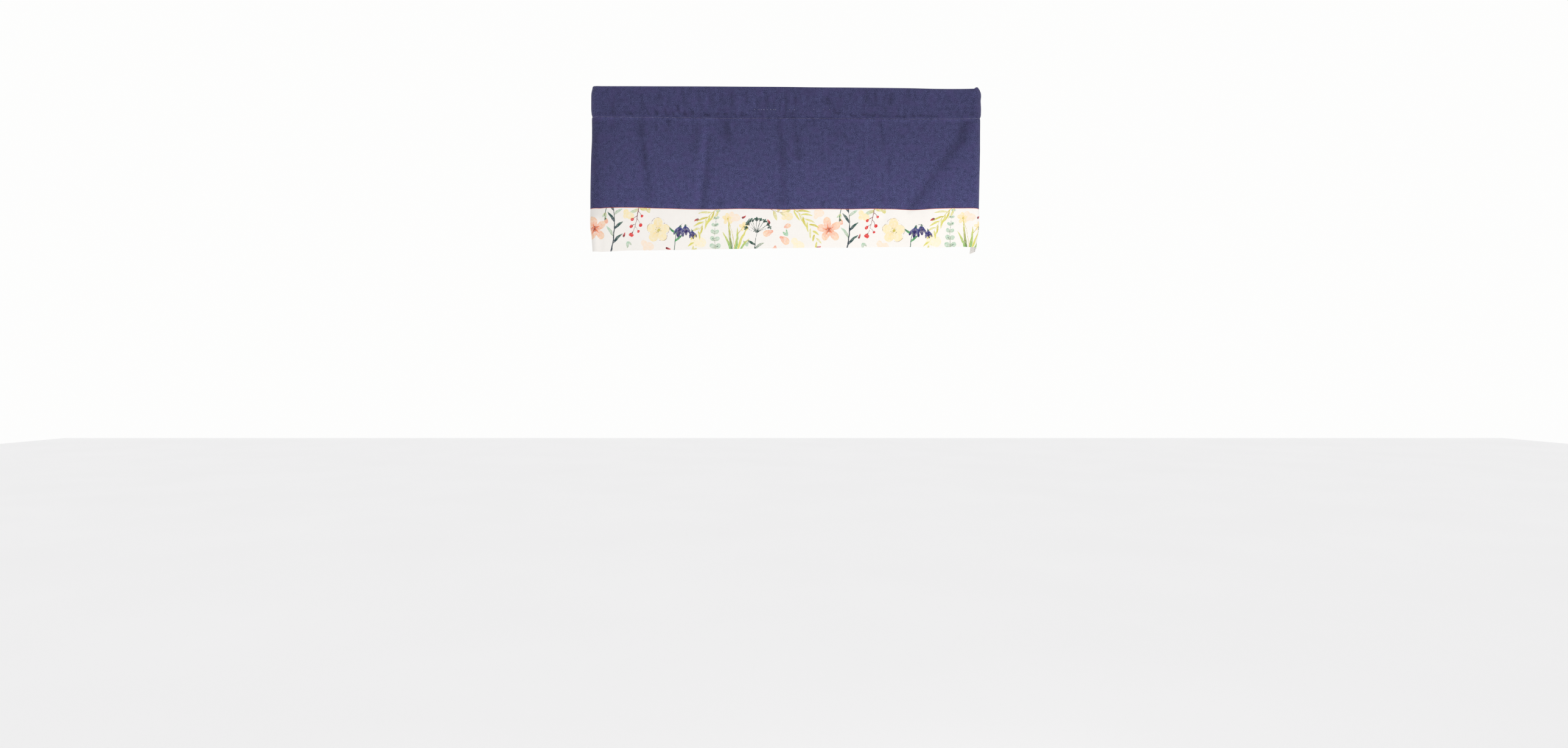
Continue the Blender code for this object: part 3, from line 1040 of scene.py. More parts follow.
@dataclass(frozen=True)
class PrintedCotton:
    """Matt off-white cotton with a loose watercolour print, paler on its wrong side."""

    ground: Colour = (0.918, 0.890, 0.850, 1.0)
    shade: Colour = (0.876, 0.842, 0.795, 1.0)
    wrong_side: Colour = (0.930, 0.860, 0.740, 1.0)
    seam_line: Colour = (0.700, 0.090, 0.050, 1.0)
    weave: PlainWeave = PlainWeave(pitch=0.00055, slub=1.2, seed=500.0)
    seam_line_width: float = 0.0016
    show_through: float = 0.20
    # How strong the painted shade from the mesh's painted shading field is on the band.
    crease_shade: float = 0.14
    mottle: tuple[float, ...] = (70.0, 3.0)             # each noise: cells a metre, octaves, roughness
    ragged: tuple[float, ...] = (460.0, 3.0, 0.6)
    pool: tuple[float, ...] = (150.0, 3.0, 0.6)
    dry: tuple[float, ...] = (1500.0, 1.0)

    def material(self) -> bpy.types.Material:
        """Build the printed cloth.

        Returns:
            The material.
        """
        shader = Shader("printed_cotton_cloth")
        along, climb = shader.uv()
        height, tone = self.weave.build(shader, along, climb)
        mottle = shader.noise(along, climb, *self.mottle)
        # Random tone, and painted shade where the weave dips between the threads.
        slight = (tone - 0.5) * 0.34 + (mottle - 0.5) * 0.5 + 0.35 - (height - 0.5) * 0.12
        colour = shader.mix(self.ground, self.shade, slight)
        wrong = shader.attribute("wrong_side", "Fac")
        colour = shader.mix(colour, self.wrong_side, wrong * 0.45)
        right = 1.0 - wrong * (1.0 - self.show_through)
        edge = (shader.noise(along, climb, *self.ragged) - 0.5) * 1.5
        pool = shader.noise(along, climb, *self.pool)
        dry = shader.noise(along, climb, *self.dry)

        spread = shader.attribute("wash", "Alpha") + edge
        rim = shader.smooth(spread, -1.9, -0.2)
        cover = 1.0 - shader.smooth(spread, -0.5, 0.4)
        strength = cover * (0.60 + (pool - 0.5) * 1.1 + rim * 0.26).larger(0.18).smaller(1.0)
        colour = shader.mix(colour, shader.attribute("wash", "Color"), strength * right)

        spread = shader.attribute("paint", "Alpha") + edge * 0.45
        cover = 1.0 - shader.smooth(spread, -0.25, 0.20)
        body = 0.94 + (pool - 0.5) * 0.9 - (dry - 0.5) * 0.25 + (height - 0.5) * 0.10
        colour = shader.mix(colour, shader.attribute("paint", "Color"), cover * body.smaller(1.0) * right)

        spread = shader.attribute("line", "Alpha") + edge * 0.35
        cover = 1.0 - shader.smooth(spread, -0.30, 0.15)
        body = 0.74 + (pool - 0.5) * 1.2
        colour = shader.mix(colour, shader.attribute("line", "Color"), cover * body.smaller(1.0) * right)

        at_seam = shader.smooth(climb, -self.seam_line_width, -self.seam_line_width * 0.5)
        colour = shader.mix(colour, self.seam_line, at_seam * (1.0 - wrong) * 0.95)
        # Painted shade in the creases, at the corners and along the seam, from the mesh's painted shading
        # field.
        colour = shader.scaled(colour, 1.0 - shader.attribute("painted_shading", "Fac") * self.crease_shade)
        normal = shader.bump(height * 0.8 + dry * 0.3, 0.00013, 0.5)
        linked = {"Base Color": colour, "Roughness": 0.80 + (mottle - 0.5) * 0.12, "Normal": normal}
        constants = {"Specular IOR Level": 0.25, "Sheen Weight": 0.05, "Sheen Roughness": 0.5}
        return shader.finish(linked, constants)


@dataclass(frozen=True)
class SewingThread:
    """Two-ply cotton thread, with its twist."""

    name: str
    light: Colour
    shadow: Colour
    patchy: float = 0.12
    twist: float = 0.0009

    def material(self) -> bpy.types.Material:
        """Build the thread.

        Returns:
            The material.
        """
        shader = Shader(self.name)
        along, around = shader.uv()
        ply = ((along / self.twist + around).fract() - 0.5).absolute() * 2.0
        lint = shader.noise(along, around * 0.002, 1800.0)
        toned = shader.smooth(shader.noise(along, around * 0.002, 105.0, 2.0), 0.36, 0.66)
        colour = shader.mix(self.shadow, self.light, ply * 0.6 + lint * 0.4)
        colour = shader.scaled(colour, 1.0 - self.patchy * 0.75 + toned * self.patchy)
        normal = shader.bump(ply, 0.00008, 0.8)
        linked = {"Base Color": colour, "Roughness": 0.62 + lint * 0.2, "Normal": normal}
        return shader.finish(linked, {"Specular IOR Level": 0.35, "Sheen Weight": 0.1})


@dataclass(frozen=True)
class PaleFloor:
    """A plain pale studio floor, very slightly uneven in tone."""

    tone: Colour = (0.945, 0.942, 0.935, 1.0)
    shade: Colour = (0.915, 0.912, 0.905, 1.0)

    def material(self) -> bpy.types.Material:
        """Build the floor's finish.

        Returns:
            The material.
        """
        shader = Shader("pale_floor")
        place = shader.node("ShaderNodeTexCoord", {}, {}, "Object")
        cloud = shader.node("ShaderNodeTexNoise", {}, {"Vector": place, "Scale": 0.9, "Detail": 2.0})
        colour = shader.mix(self.tone, self.shade, cloud)
        linked = {"Base Color": colour, "Roughness": 0.7 + cloud * 0.15}
        return shader.finish(linked, {"Specular IOR Level": 0.2})


class Layer(Enum):
    """How a stroke is laid on the cloth, and the mesh field that holds it."""

    WASH = "wash"
    PAINT = "paint"
    LINE = "line"


class Ink(Enum):
    """The print's inks."""

    LEAF = (84, 178, 98)
    DEEP_GREEN = (42, 108, 82)
    MINT = (160, 206, 172)
    YELLOW_GREEN = (220, 214, 112)
    OLIVE = (204, 190, 78)
    SAGE = (160, 174, 142)
    TEAL = (28, 60, 52)
    SEA = (52, 100, 82)
    SLATE = (34, 52, 70)
    BLUE = (52, 64, 142)
    INDIGO = (46, 36, 98)
    CORAL = (240, 136, 92)
    PEACH = (252, 206, 158)
    PALE_YELLOW = (251, 230, 166)
    YELLOW = (248, 214, 126)
    BUTTER = (252, 238, 196)
    BLUSH = (252, 226, 198)
    RED = (224, 46, 44)
    MAROON = (120, 32, 42)
    BROWN = (126, 88, 66)

    def linear(self) -> Array:
        """Return the ink as linear red, green and blue."""
        return np.array(from_srgb(*self.value)[:3])


class Brush(Enum):
    """How a stroke's width changes from its start to its end."""

    EVEN = "even"
    TAPER = "taper"
    LEAF = "leaf"
    PETAL = "petal"
    DROP = "drop"

    def shape(self, t: Array) -> Array:
        """Read how wide the stroke is.

        Args:
            t: Shares of the stroke's length.

        Returns:
            The width there, as a share of the widest.
        """
        if self is Brush.TAPER:
            return 1.0 - 0.65 * t
        if self is Brush.LEAF:
            return 0.12 + 0.88 * np.sin(pi * np.clip(t, 0, 1) ** 0.85) ** 0.9
        if self is Brush.PETAL:
            return 0.15 + 0.85 * np.sin(pi * (0.06 + 0.90 * t ** 1.7)) ** 0.75
        if self is Brush.DROP:
            return 0.25 + 0.75 * np.sin(pi * (0.5 * t ** 0.8))
        return np.ones_like(t)


Spot = tuple[float, float]


def toward(start: Spot, angle: float, distance: float) -> Spot:
    """Step from a spot: 0 degrees is to the right, 90 is up."""
    return start[0] + distance * cos(radians(angle)), start[1] + distance * sin(radians(angle))


def shifted(spot: Spot, across: float, up: float) -> Spot:
    """Move a spot to the right and up."""
    return spot[0] + across, spot[1] + up


def route(start: Spot, *moves: Spot) -> tuple[Spot, ...]:
    """List a start and the spots that lie at the given moves from it."""
    return (start, *(shifted(start, *move) for move in moves))


def bent_path(spine: tuple[Spot, ...], count: int) -> Array:
    """Follow the smooth curve that a few control spots give.

    Args:
        spine: Two to four control spots.
        count: How many points to read.

    Returns:
        The points, count by two.
    """
    t = np.linspace(0.0, 1.0, count)[:, None]
    levels = [np.array(spot)[None, :] for spot in spine]
    while len(levels) > 1:
        levels = [a * (1 - t) + b * t for a, b in zip(levels, levels[1:])]
    return levels[0]


def spots_on(spine: tuple[Spot, ...], count: int) -> list[Spot]:
    """Read evenly counted spots on the smooth curve of a spine."""
    return [tuple(spot) for spot in bent_path(spine, count)]


@dataclass(frozen=True)
class Stroke:
    """One stroke of the brush, in millimetres on the flat cloth."""

    spine: tuple[Spot, ...]
    radius: float
    brush: Brush
    ink: Ink
    tip: Ink | None = None
    layer: Layer = Layer.PAINT
    POINTS = 11

    def depth(self, across: Array, up: Array) -> tuple[Array, Array]:
        """Measure places against the stroke's edge.

        Args:
            across: Places along the cloth.
            up: Places up it.

        Returns:
            The distance outside the stroke, negative inside it, and the share of the way along it.
        """
        path = bent_path(self.spine, self.POINTS)
        shares = np.linspace(0.0, 1.0, self.POINTS)
        radii = self.radius * self.brush.shape(shares)
        best = np.full(across.shape, 99.0)
        share = np.zeros(across.shape)
        for i in range(self.POINTS - 1):
            run = path[i + 1] - path[i]
            length = max(float(run @ run), 1e-9)
            t = np.clip(((across - path[i, 0]) * run[0] + (up - path[i, 1]) * run[1]) / length, 0, 1)
            gap = np.hypot(across - path[i, 0] - t * run[0], up - path[i, 1] - t * run[1])
            gap = gap - radii[i] * (1 - t) - radii[i + 1] * t
            closer = gap < best
            best = np.where(closer, gap, best)
            share = np.where(closer, shares[i] + t / (self.POINTS - 1), share)
        return best, share


@dataclass
class FlowerPrint:
    """A loose watercolour print of garden flowers, leaves and berries, in millimetres.

    Across runs along the cloth and repeats; up is 0 at the seam and falls to about -150 inside the hem.
    """

    repeat: float = 656.0
    reach: float = 8.0
    strokes: list[Stroke] = field(default_factory=list)
    hand: np.random.Generator = field(default_factory=lambda: np.random.default_rng(7))

    def vary(self, spread: float) -> float:
        """Draw a small random change, up to the given spread either way."""
        return float(self.hand.uniform(-spread, spread))

    def stem(
        self,
        spine: tuple[Spot, ...],
        radius: float,
        ink: Ink,
        brush: Brush = Brush.EVEN,
        tip: Ink | None = None,
        layer: Layer = Layer.PAINT,
    ) -> None:
        """Lay one stroke along a spine, by default a stem of even width.

        Args:
            spine: Its control spots.
            radius: Half its greatest width.
            ink: Its colour at the start.
            brush: How its width changes.
            tip: Its colour at the end.
            layer: How it is laid on.
        """
        self.strokes.append(Stroke(spine, radius, brush, ink, tip, layer))

    def twig(self, spine: tuple[Spot, ...], radius: float, ink: Ink, tip: Ink | None = None) -> None:
        """Lay a stem that tapers."""
        self.stem(spine, radius, ink, Brush.TAPER, tip)

    def hairline(self, spine: tuple[Spot, ...], radius: float, ink: Ink) -> None:
        """Draw a fine line over the rest."""
        self.stem(spine, radius, ink, layer=Layer.LINE)

    def dot(self, at: Spot, radius: float, ink: Ink) -> None:
        """Lay a round touch of the brush."""
        self.stem((at, toward(at, 40, radius * 0.5)), radius, ink)

    def leaf(
        self,
        base: Spot,
        angle: float,
        length: float,
        radius: float,
        ink: Ink,
        bend: float = 0.0,
        tip: Ink | None = None,
        brush: Brush = Brush.LEAF,
        layer: Layer = Layer.PAINT,
    ) -> None:
        """Lay a leaf, petal or grass blade.

        Args:
            base: Where it starts.
            angle: Which way it points, in degrees.
            length: Its length.
            radius: Half its greatest width.
            ink: Its colour at the base.
            bend: How far its middle bows to the left, as a share of its length.
            tip: Its colour at the tip.
            brush: How its width changes.
            layer: How it is laid on.
        """
        middle = toward(toward(base, angle, length / 2), angle + 90, bend * length)
        self.stem((base, middle, toward(base, angle, length)), radius, ink, brush, tip, layer)

    def pale_leaf(self, *shape: Any) -> None:
        """Lay a leaf as a thin wash, with what leaf takes up to its tip's ink."""
        self.leaf(*shape, layer=Layer.WASH)

    def petal(self, *shape: Any) -> None:
        """Lay a petal as a thin wash, with what leaf takes up to its tip's ink."""
        self.leaf(*shape, brush=Brush.PETAL, layer=Layer.WASH)

    def willow_spray(self, top: Spot, side: int) -> None:
        """Paint a drooping spray of long narrow yellow-green leaves.

        Args:
            top: Where it leaves the seam.
            side: 1 where it sweeps to the right, -1 to the left.
        """
        spine = route(top, (side * 50, -20), (side * 78, -98))
        self.twig(spine, 1.0, Ink.OLIVE, Ink.YELLOW_GREEN)
        path = bent_path(spine, 15)
        for i in range(1, 15):
            heading = np.degrees(np.arctan2(*(path[i] - path[i - 1])[::-1]))
            turn = (30 + self.vary(7)) * (1 if i % 2 else -1)
            length = (42 - 1.5 * i) * (1 + self.vary(0.12))
            ink = Ink.OLIVE if i % 3 == 0 else Ink.YELLOW_GREEN
            layer = Layer.WASH if i % 3 == 1 else Layer.PAINT
            shape = (tuple(path[i]), heading + turn, length, 2.7)
            self.leaf(*shape, ink, turn * 0.004, Ink.YELLOW_GREEN, layer=layer)

    def blossom(self, middle: Spot) -> None:
        """Paint an open five-petalled blossom with a bud beside it.

        Args:
            middle: Its middle.
        """
        for k in range(5):
            angle = 100 + 72 * k + self.vary(5)
            root = toward(middle, angle, 3.5)
            length = 27 + self.vary(3.5)
            self.petal(root, angle, length, 10.2, Ink.CORAL, self.vary(0.06), Ink.PEACH)
            self.leaf(root, angle, 12, 2.0, Ink.CORAL, 0.05, Ink.CORAL, Brush.TAPER)
            vein = (toward(root, angle, 6), angle + self.vary(9), 13, 0.75)
            self.leaf(*vein, Ink.CORAL, 0.05, None, Brush.EVEN, Layer.LINE)
        for k in range(8):
            end = toward(middle, 45 * k + self.vary(12), 7 + self.vary(1.5))
            self.hairline((middle, end), 0.75, Ink.MAROON)
            self.dot(end, 1.15, Ink.MAROON)
        bud = shifted(middle, 31, 30)
        self.petal(bud, -70, 15, 5.2, Ink.PEACH, 0.1, Ink.CORAL)
        self.leaf(bud, -95, 8, 1.6, Ink.SEA, 0.1)
        self.leaf(bud, -48, 8, 1.6, Ink.SEA, -0.1)
        self.stem(route(bud, (-2, 12), (5, 30)), 1.0, Ink.SEA)

    def lance_branch(self, foot: Spot) -> None:
        """Paint an upright branch with long narrow leaves.

        Args:
            foot: Where it starts, at the hem.
        """
        spine = route(foot, (20, 62), (8, 140))
        self.twig(spine, 2.2, Ink.SLATE, Ink.TEAL)
        path = spots_on(spine, 15)
        pale, dark = (Ink.SAGE, Ink.MINT, Layer.WASH), (Ink.SLATE, Ink.SEA, Layer.PAINT)
        for i, side, length in ((3, 1, 40), (5, -1, 38), (7, 1, 34), (9, -1, 36), (11, 1, 28), (12, -1, 24)):
            angle = 86 - side * (44 + self.vary(7))
            ink, tip, layer = pale if i in (5, 11) else dark
            self.leaf(path[i], angle, length, 3.7, ink, 0.10 * side, tip, layer=layer)

    def berries(self, top: Spot) -> None:
        """Paint a hanging spray of red berries on dark twigs.

        Args:
            top: Where it leaves the seam.
        """
        spine = route(top, (-2, -36), (-20, -84))
        self.twig(spine, 1.3, Ink.MAROON, Ink.BROWN)
        path = spots_on(spine, 13)
        for i, side, length in ((3, 1, 15), (5, -1, 17), (6, 1, 19), (8, -1, 14), (9, 1, 15), (11, -1, 9)):
            angle = -98 + side * (42 + self.vary(10))
            end = toward(path[i], angle, length)
            self.stem((path[i], toward(path[i], angle + side * 14, length * 0.6), end), 0.85, Ink.MAROON)
            self.dot(toward(end, angle, 2.2), 3.7 + self.vary(0.7), Ink.RED)
        self.dot(toward(path[12], -110, 2.4), 4.1, Ink.RED)
        self.pale_leaf(path[1], -20, 24, 4.6, Ink.OLIVE, -0.1, Ink.YELLOW_GREEN)
        self.pale_leaf(path[2], -158, 26, 4.8, Ink.OLIVE, 0.1, Ink.MINT)

    def poppy(self, middle: Spot) -> None:
        """Paint a wide pale poppy with a fine outline, broken at one petal.

        Args:
            middle: Its middle.
        """
        for k, angle in enumerate((18, 92, 164, 232, 306)):
            length = 24 + 4 * (k % 2)
            ink = Ink.YELLOW if k % 2 else Ink.PALE_YELLOW
            self.petal(toward(middle, angle, 2.0), angle, length, 12.6, ink, 0.0, Ink.PALE_YELLOW)
            rim = ((-34, 3), (-12, 13), (16, 12), (36, 2))
            outline = tuple(toward(middle, angle + turn, length + bulge) for turn, bulge in rim)
            if k != 3:
                self.hairline(outline, 0.72, Ink.BROWN)
        self.dot(middle, 3.4, Ink.OLIVE)
        for k in range(11):
            self.dot(toward(middle, 33 * k + self.vary(8), 7.5 + self.vary(1.6)), 0.95, Ink.TEAL)

    def bellflowers(self, foot: Spot) -> None:
        """Paint an arching stem with three hanging bells.

        Args:
            foot: Where the stem starts, at the hem.
        """
        spine = route(foot, (2, 66), (16, 112), (50, 72))
        self.twig(spine, 1.25, Ink.SEA)
        path = spots_on(spine, 21)
        for i, size, lean in ((12, 1.35, -12), (16, 1.2, 4), (20, 1.0, 10)):
            neck = toward(path[i], -90 + lean, 5)
            self.stem((path[i], neck), 0.85, Ink.SEA)
            for spread, radius in ((-27, 3.0), (0, 3.9), (27, 3.0)):
                ink = Ink.BLUE if spread else Ink.INDIGO
                shape = (neck, -90 + lean + spread, 21 * size, radius * size)
                self.leaf(*shape, ink, spread * 0.004, Ink.INDIGO, Brush.PETAL)
            self.dot(neck, 2.2 * size, Ink.SEA)
        self.leaf(path[4], 40, 30, 3.1, Ink.LEAF, 0.1, Ink.SEA)
        self.leaf(path[7], 142, 27, 3.1, Ink.LEAF, 0.1, Ink.SEA)

    def round_leaf_sprig(self, foot: Spot) -> None:
        """Paint a pale sprig with round leaves in pairs.

        Args:
            foot: Where it starts, at the hem.
        """
        spine = route(foot, (-12, 60), (6, 118))
        self.twig(spine, 1.0, Ink.SAGE, Ink.SEA)
        path = spots_on(spine, 13)
        for i in range(2, 13, 2):
            size = 7.6 - 0.42 * i
            for side in (-1, 1):
                angle = 90 + side * (-58 + self.vary(10))
                self.petal(path[i], angle, size * 2.1, size, Ink.SAGE, 0.0, Ink.MINT)
                if (i + side) % 3 == 0:
                    self.leaf(toward(path[i], angle, 3), angle, size * 1.3, 1.2, Ink.SEA)

    def buttercups(self, foot: Spot) -> None:
        """Paint a tuft of grass blades with two small yellow flowers.

        Args:
            foot: Where the tuft starts, at the hem.
        """
        for shift, angle, length, bend, ink in (
            (-9, 112, 66, -0.12, Ink.LEAF),
            (-3, 98, 88, 0.06, Ink.DEEP_GREEN),
            (2, 84, 74, -0.05, Ink.LEAF),
            (7, 66, 80, 0.12, Ink.YELLOW_GREEN),
            (11, 52, 52, 0.14, Ink.LEAF),
        ):
            self.leaf(shifted(foot, shift, 0), angle, length, 3.1, ink, bend, Ink.YELLOW_GREEN)
        for top, size in ((shifted(foot, -18, 96), 1.0), (shifted(foot, 27, 74), 0.85)):
            self.stem((foot, shifted(foot, 0, 50), top), 0.85, Ink.OLIVE)
            for k in range(5):
                angle = 72 * k + 20 + self.vary(8)
                shape = (toward(top, angle, 1.5), angle, 12.5 * size, 5.2 * size)
                self.petal(*shape, Ink.YELLOW, 0.0, Ink.PALE_YELLOW)
            self.dot(top, 2.0 * size, Ink.OLIVE)

    def seed_heads(self, foot: Spot) -> None:
        """Paint a dark umbel of small seed heads.

        Args:
            foot: Where the stem starts, at the hem.
        """
        hub = shifted(foot, 5, 58)
        self.twig((foot, shifted(foot, -3, 30), hub), 1.5, Ink.TEAL)
        for k in range(9):
            angle = 22 + 17 * k + self.vary(4)
            length = 31 + 6 * sin(radians(angle)) + self.vary(3)
            end = toward(hub, angle, length)
            self.stem((hub, toward(hub, angle + 6, length * 0.55), end), 0.8, Ink.TEAL)
            self.dot(end, 3.3 + self.vary(0.6), Ink.TEAL)
            for turn in (-62, 0, 58):
                self.dot(toward(end, angle + turn, 5.4), 1.8 + self.vary(0.35), Ink.SEA)
        self.leaf(shifted(foot, -1, 22), 148, 27, 3.4, Ink.TEAL, -0.12, Ink.SEA)
        self.pale_leaf(shifted(foot, 0, 14), 34, 30, 3.6, Ink.SEA, 0.12, Ink.SAGE)

    def falling_petals(self, middle: Spot) -> None:
        """Paint loose petals drifting below a leafy twig.

        Args:
            middle: The middle of the petals.
        """
        self.twig(route(middle, (-26, 62), (-4, 44), (22, 48))[1:], 1.1, Ink.BROWN)
        leaves = ((-10, 50, -70, 27), (2, 47, 62, 20), (10, 47, -38, 29), (20, 48, 14, 19))
        for across, up, angle, length in leaves:
            base = shifted(middle, across, up)
            self.pale_leaf(base, angle, length, 4.4, Ink.OLIVE, 0.1, Ink.YELLOW_GREEN)
            self.hairline((base, toward(base, angle, length * 0.7)), 0.7, Ink.OLIVE)
        petals = ((-14, -6, 200, 1.0), (12, -22, 318, 1.1), (-4, -48, 250, 0.9), (22, 6, 20, 0.7))
        for across, up, angle, size in petals:
            shape = (shifted(middle, across, up), angle, 21 * size, 9.0 * size)
            self.petal(*shape, Ink.CORAL, 0.08, Ink.PEACH)

    def scattered_leaves(self) -> None:
        """Fill the gaps with small leaves, drops and washes, some cut by the seam and the hem."""
        for at, angle, ink, tip in (
            ((150, -14), 250, Ink.YELLOW_GREEN, Ink.MINT),
            ((212, -96), 300, Ink.MINT, Ink.SAGE),
            ((276, -14), 110, Ink.YELLOW_GREEN, Ink.OLIVE),
            ((396, -118), 60, Ink.OLIVE, Ink.YELLOW_GREEN),
            ((548, -104), 100, Ink.MINT, Ink.SAGE),
            ((4, -74), 120, Ink.MINT, Ink.LEAF),
        ):
            for turn in (-24, 22):
                self.pale_leaf(at, angle + turn + self.vary(6), 17 + self.vary(3), 3.1, ink, 0.08, tip)
        for at, angle in (
            ((96, -104), 200),
            ((206, -70), 250),
            ((334, -112), 170),
            ((402, -34), 30),
            ((604, -30), 300),
            ((544, -20), 215),
        ):
            self.leaf(at, angle, 11, 3.0, Ink.RED, 0.1, Ink.MAROON, Brush.DROP)
        for at, radius, ink in (
            ((26, -98), 12, Ink.BUTTER),
            ((86, -18), 10, Ink.BLUSH),
            ((212, -20), 10, Ink.PALE_YELLOW),
            ((264, -106), 11, Ink.BLUSH),
            ((404, -90), 14, Ink.BUTTER),
            ((508, -24), 10, Ink.BLUSH),
            ((652, -16), 11, Ink.PALE_YELLOW),
        ):
            for turn, share in ((0, 1.0), (118 + self.vary(20), 0.75), (242 + self.vary(20), 0.6)):
                angle = turn + self.vary(30)
                self.petal(at, angle, radius * 1.5 * share, radius * share, ink, 0.1, ink)

    def design(self) -> None:
        """Lay out one repeat of the print."""
        self.willow_spray((8, 6), 1)
        self.blossom((118, -58))
        self.lance_branch((164, -128))
        self.berries((246, 8))
        self.poppy((300, -62))
        self.bellflowers((344, -128))
        self.willow_spray((478, 6), -1)
        self.round_leaf_sprig((462, -126))
        self.buttercups((512, -124))
        self.seed_heads((570, -124))
        self.falling_petals((630, -56))
        self.scattered_leaves()

    def lay(self, stroke: Stroke, across: Array, up: Array, closest: Array, ink: Array) -> None:
        """Mark the places that one stroke is nearest to, in this repeat and across its ends.

        Args:
            stroke: The stroke.
            across: Places along the cloth, within one repeat.
            up: Places up it.
            closest: The distance to the nearest stroke so far, which is brought up to date.
            ink: The ink of that stroke, which is brought up to date.
        """
        spots = np.array(stroke.spine)
        margin = stroke.radius + self.reach
        low, high = spots.min(axis=0) - margin, spots.max(axis=0) + margin
        tip = (stroke.tip or stroke.ink).linear()
        for turn in (-self.repeat, 0.0, self.repeat):
            inside = (across + turn > low[0]) & (across + turn < high[0]) & (up > low[1]) & (up < high[1])
            chosen = np.nonzero(inside)[0]
            if not len(chosen):
                continue
            gap, share = stroke.depth(across[chosen] + turn, up[chosen])
            nearer = gap < closest[chosen]
            chosen, gap, share = chosen[nearer], gap[nearer], share[nearer, None]
            ink[chosen] = stroke.ink.linear() * (1 - share) + tip * share
            closest[chosen] = gap

    def paint(self, along: Array, climb: Array) -> dict[str, Array]:
        """Work out each layer's ink and the distance to its nearest stroke.

        Args:
            along: Places along the cloth, in metres.
            climb: Places above the seam, in metres.

        Returns:
            The layers' fields by name: red, green, blue and the distance in millimetres.
        """
        wander = SmoothNoise(61)
        shift = sum(octave.read(wander, along, climb) for octave in PRINT_SHIFTS)
        lift = sum(octave.read(wander, along, climb) for octave in PRINT_LIFTS)
        across = np.mod((along + shift) / MM, self.repeat).ravel()
        up = ((climb + lift) / MM).ravel()
        fields = {}
        for layer in Layer:
            closest = np.full(up.shape, self.reach)
            ink = np.ones((up.size, 3))
            for stroke in self.strokes:
                if stroke.layer is layer:
                    self.lay(stroke, across, up, closest, ink)
            fields[layer.value] = np.concatenate((ink, closest[:, None]), axis=1).reshape(*lift.shape, 4)
        return fields


@dataclass
class ClothPiece:
    """A piece of cloth that stands for some of the valance's solids."""

    cloth: HungCloth
    name: str = "cloth"
    slot: str = "navy_canvas"
    nodes: tuple[str, ...] = ()
    hangs_from: str = "rod_line"
    cut_length: float = 0.1
    spacing: float = 0.0016

    def columns(self) -> Array:
        """Return the places of the columns, as one column of an array."""
        return stations(self.spacing)[:, None]

    def dress(self, made: bpy.types.Object, material: bpy.types.Material) -> bpy.types.Object:
        """Give the piece its finish and its body, and hide the solids that it stands for.

        Args:
            made: The piece.
            material: Its finish.

        Returns:
            The piece.
        """
        made.data.materials.append(material)
        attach(made, "root")
        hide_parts(*self.nodes)
        log.info("%s: %d faces", made.name, len(made.data.polygons))
        return made


@dataclass
class RowStack:
    """The rows of a sheet's outline, gathered one after the other."""

    along: Array
    heights: list[Array] = field(default_factory=list)
    depths: list[Array] = field(default_factory=list)
    climbs: list[Array] = field(default_factory=list)
    wrong_sides: list[Array] = field(default_factory=list)
    full_crease: float = 0.0022         # a crease this deep gets the full painted shade

    def add(self, height: Array, depth: Array, climb: Array, wrong_side: float = 0.0) -> None:
        """Add some rows.

        Args:
            height: Their heights, columns by rows.
            depth: How far they lie behind the outer face.
            climb: Their places up the cloth's own map.
            wrong_side: 1 on the cloth's wrong side, else 0.
        """
        height, depth, climb = np.broadcast_arrays(height, depth, climb)
        self.heights.append(height)
        self.depths.append(depth)
        self.climbs.append(climb)
        self.wrong_sides.append(np.full(height.shape, wrong_side))

    def shading(self, cloth: HungCloth, height: Array) -> Array:
        """Read the painted shade in the creases, where the cloth turns away and along the seam, and the
        painted light on the pulled cloth beside the stitching and the seam.

        Args:
            cloth: The hung shape.
            height: Heights of the rows.

        Returns:
            The painted shading field: 1 where the painted shade is darkest, below 0 where painted light
                makes it pale.
        """
        folded = cloth.creases(self.along, height) + relief_of(TURNED_AWAY, self.along, height)
        spots = 0.75 + 0.60 * cloth.pucker.read(self.along / 0.013 + 70, 12.0)
        below_stitch = BELOW_STITCHING.read(cloth.line("stitch", self.along) - height)
        from_seam = height - cloth.line("seam", self.along)
        # Painted light in spots on the pulled cloth below the stitching and above the seam.
        pulled = spots * (below_stitch + ABOVE_SEAM.read(from_seam))
        return np.clip(-folded / self.full_crease + pulled + SEAM_STREAK.read(from_seam), -0.9, 1.0)

    def section(self, cloth: HungCloth) -> Section:
        """Close the outline and place it on the hung cloth.

        Args:
            cloth: The hung shape.

        Returns:
            The finished outline.
        """
        height = np.concatenate(self.heights, axis=1)
        depth = np.concatenate(self.depths, axis=1)
        climb = np.concatenate(self.climbs, axis=1)
        wrong_side = np.concatenate(self.wrong_sides, axis=1)
        offset = cloth.face(self.along, height) - depth
        return Section(self.along, offset, height, climb, wrong_side, self.shading(cloth, height))


class PocketRows(NamedTuple):
    """The pocket's plain outline before its pleats: one array for each, columns by rows."""

    places: Array           # distances round the outline, from the stitching up the front
    offset: Array
    height: Array
    down: Array
    on_front: Array
    past_stitches: Array    # distances past the stitching at the back, negative before it


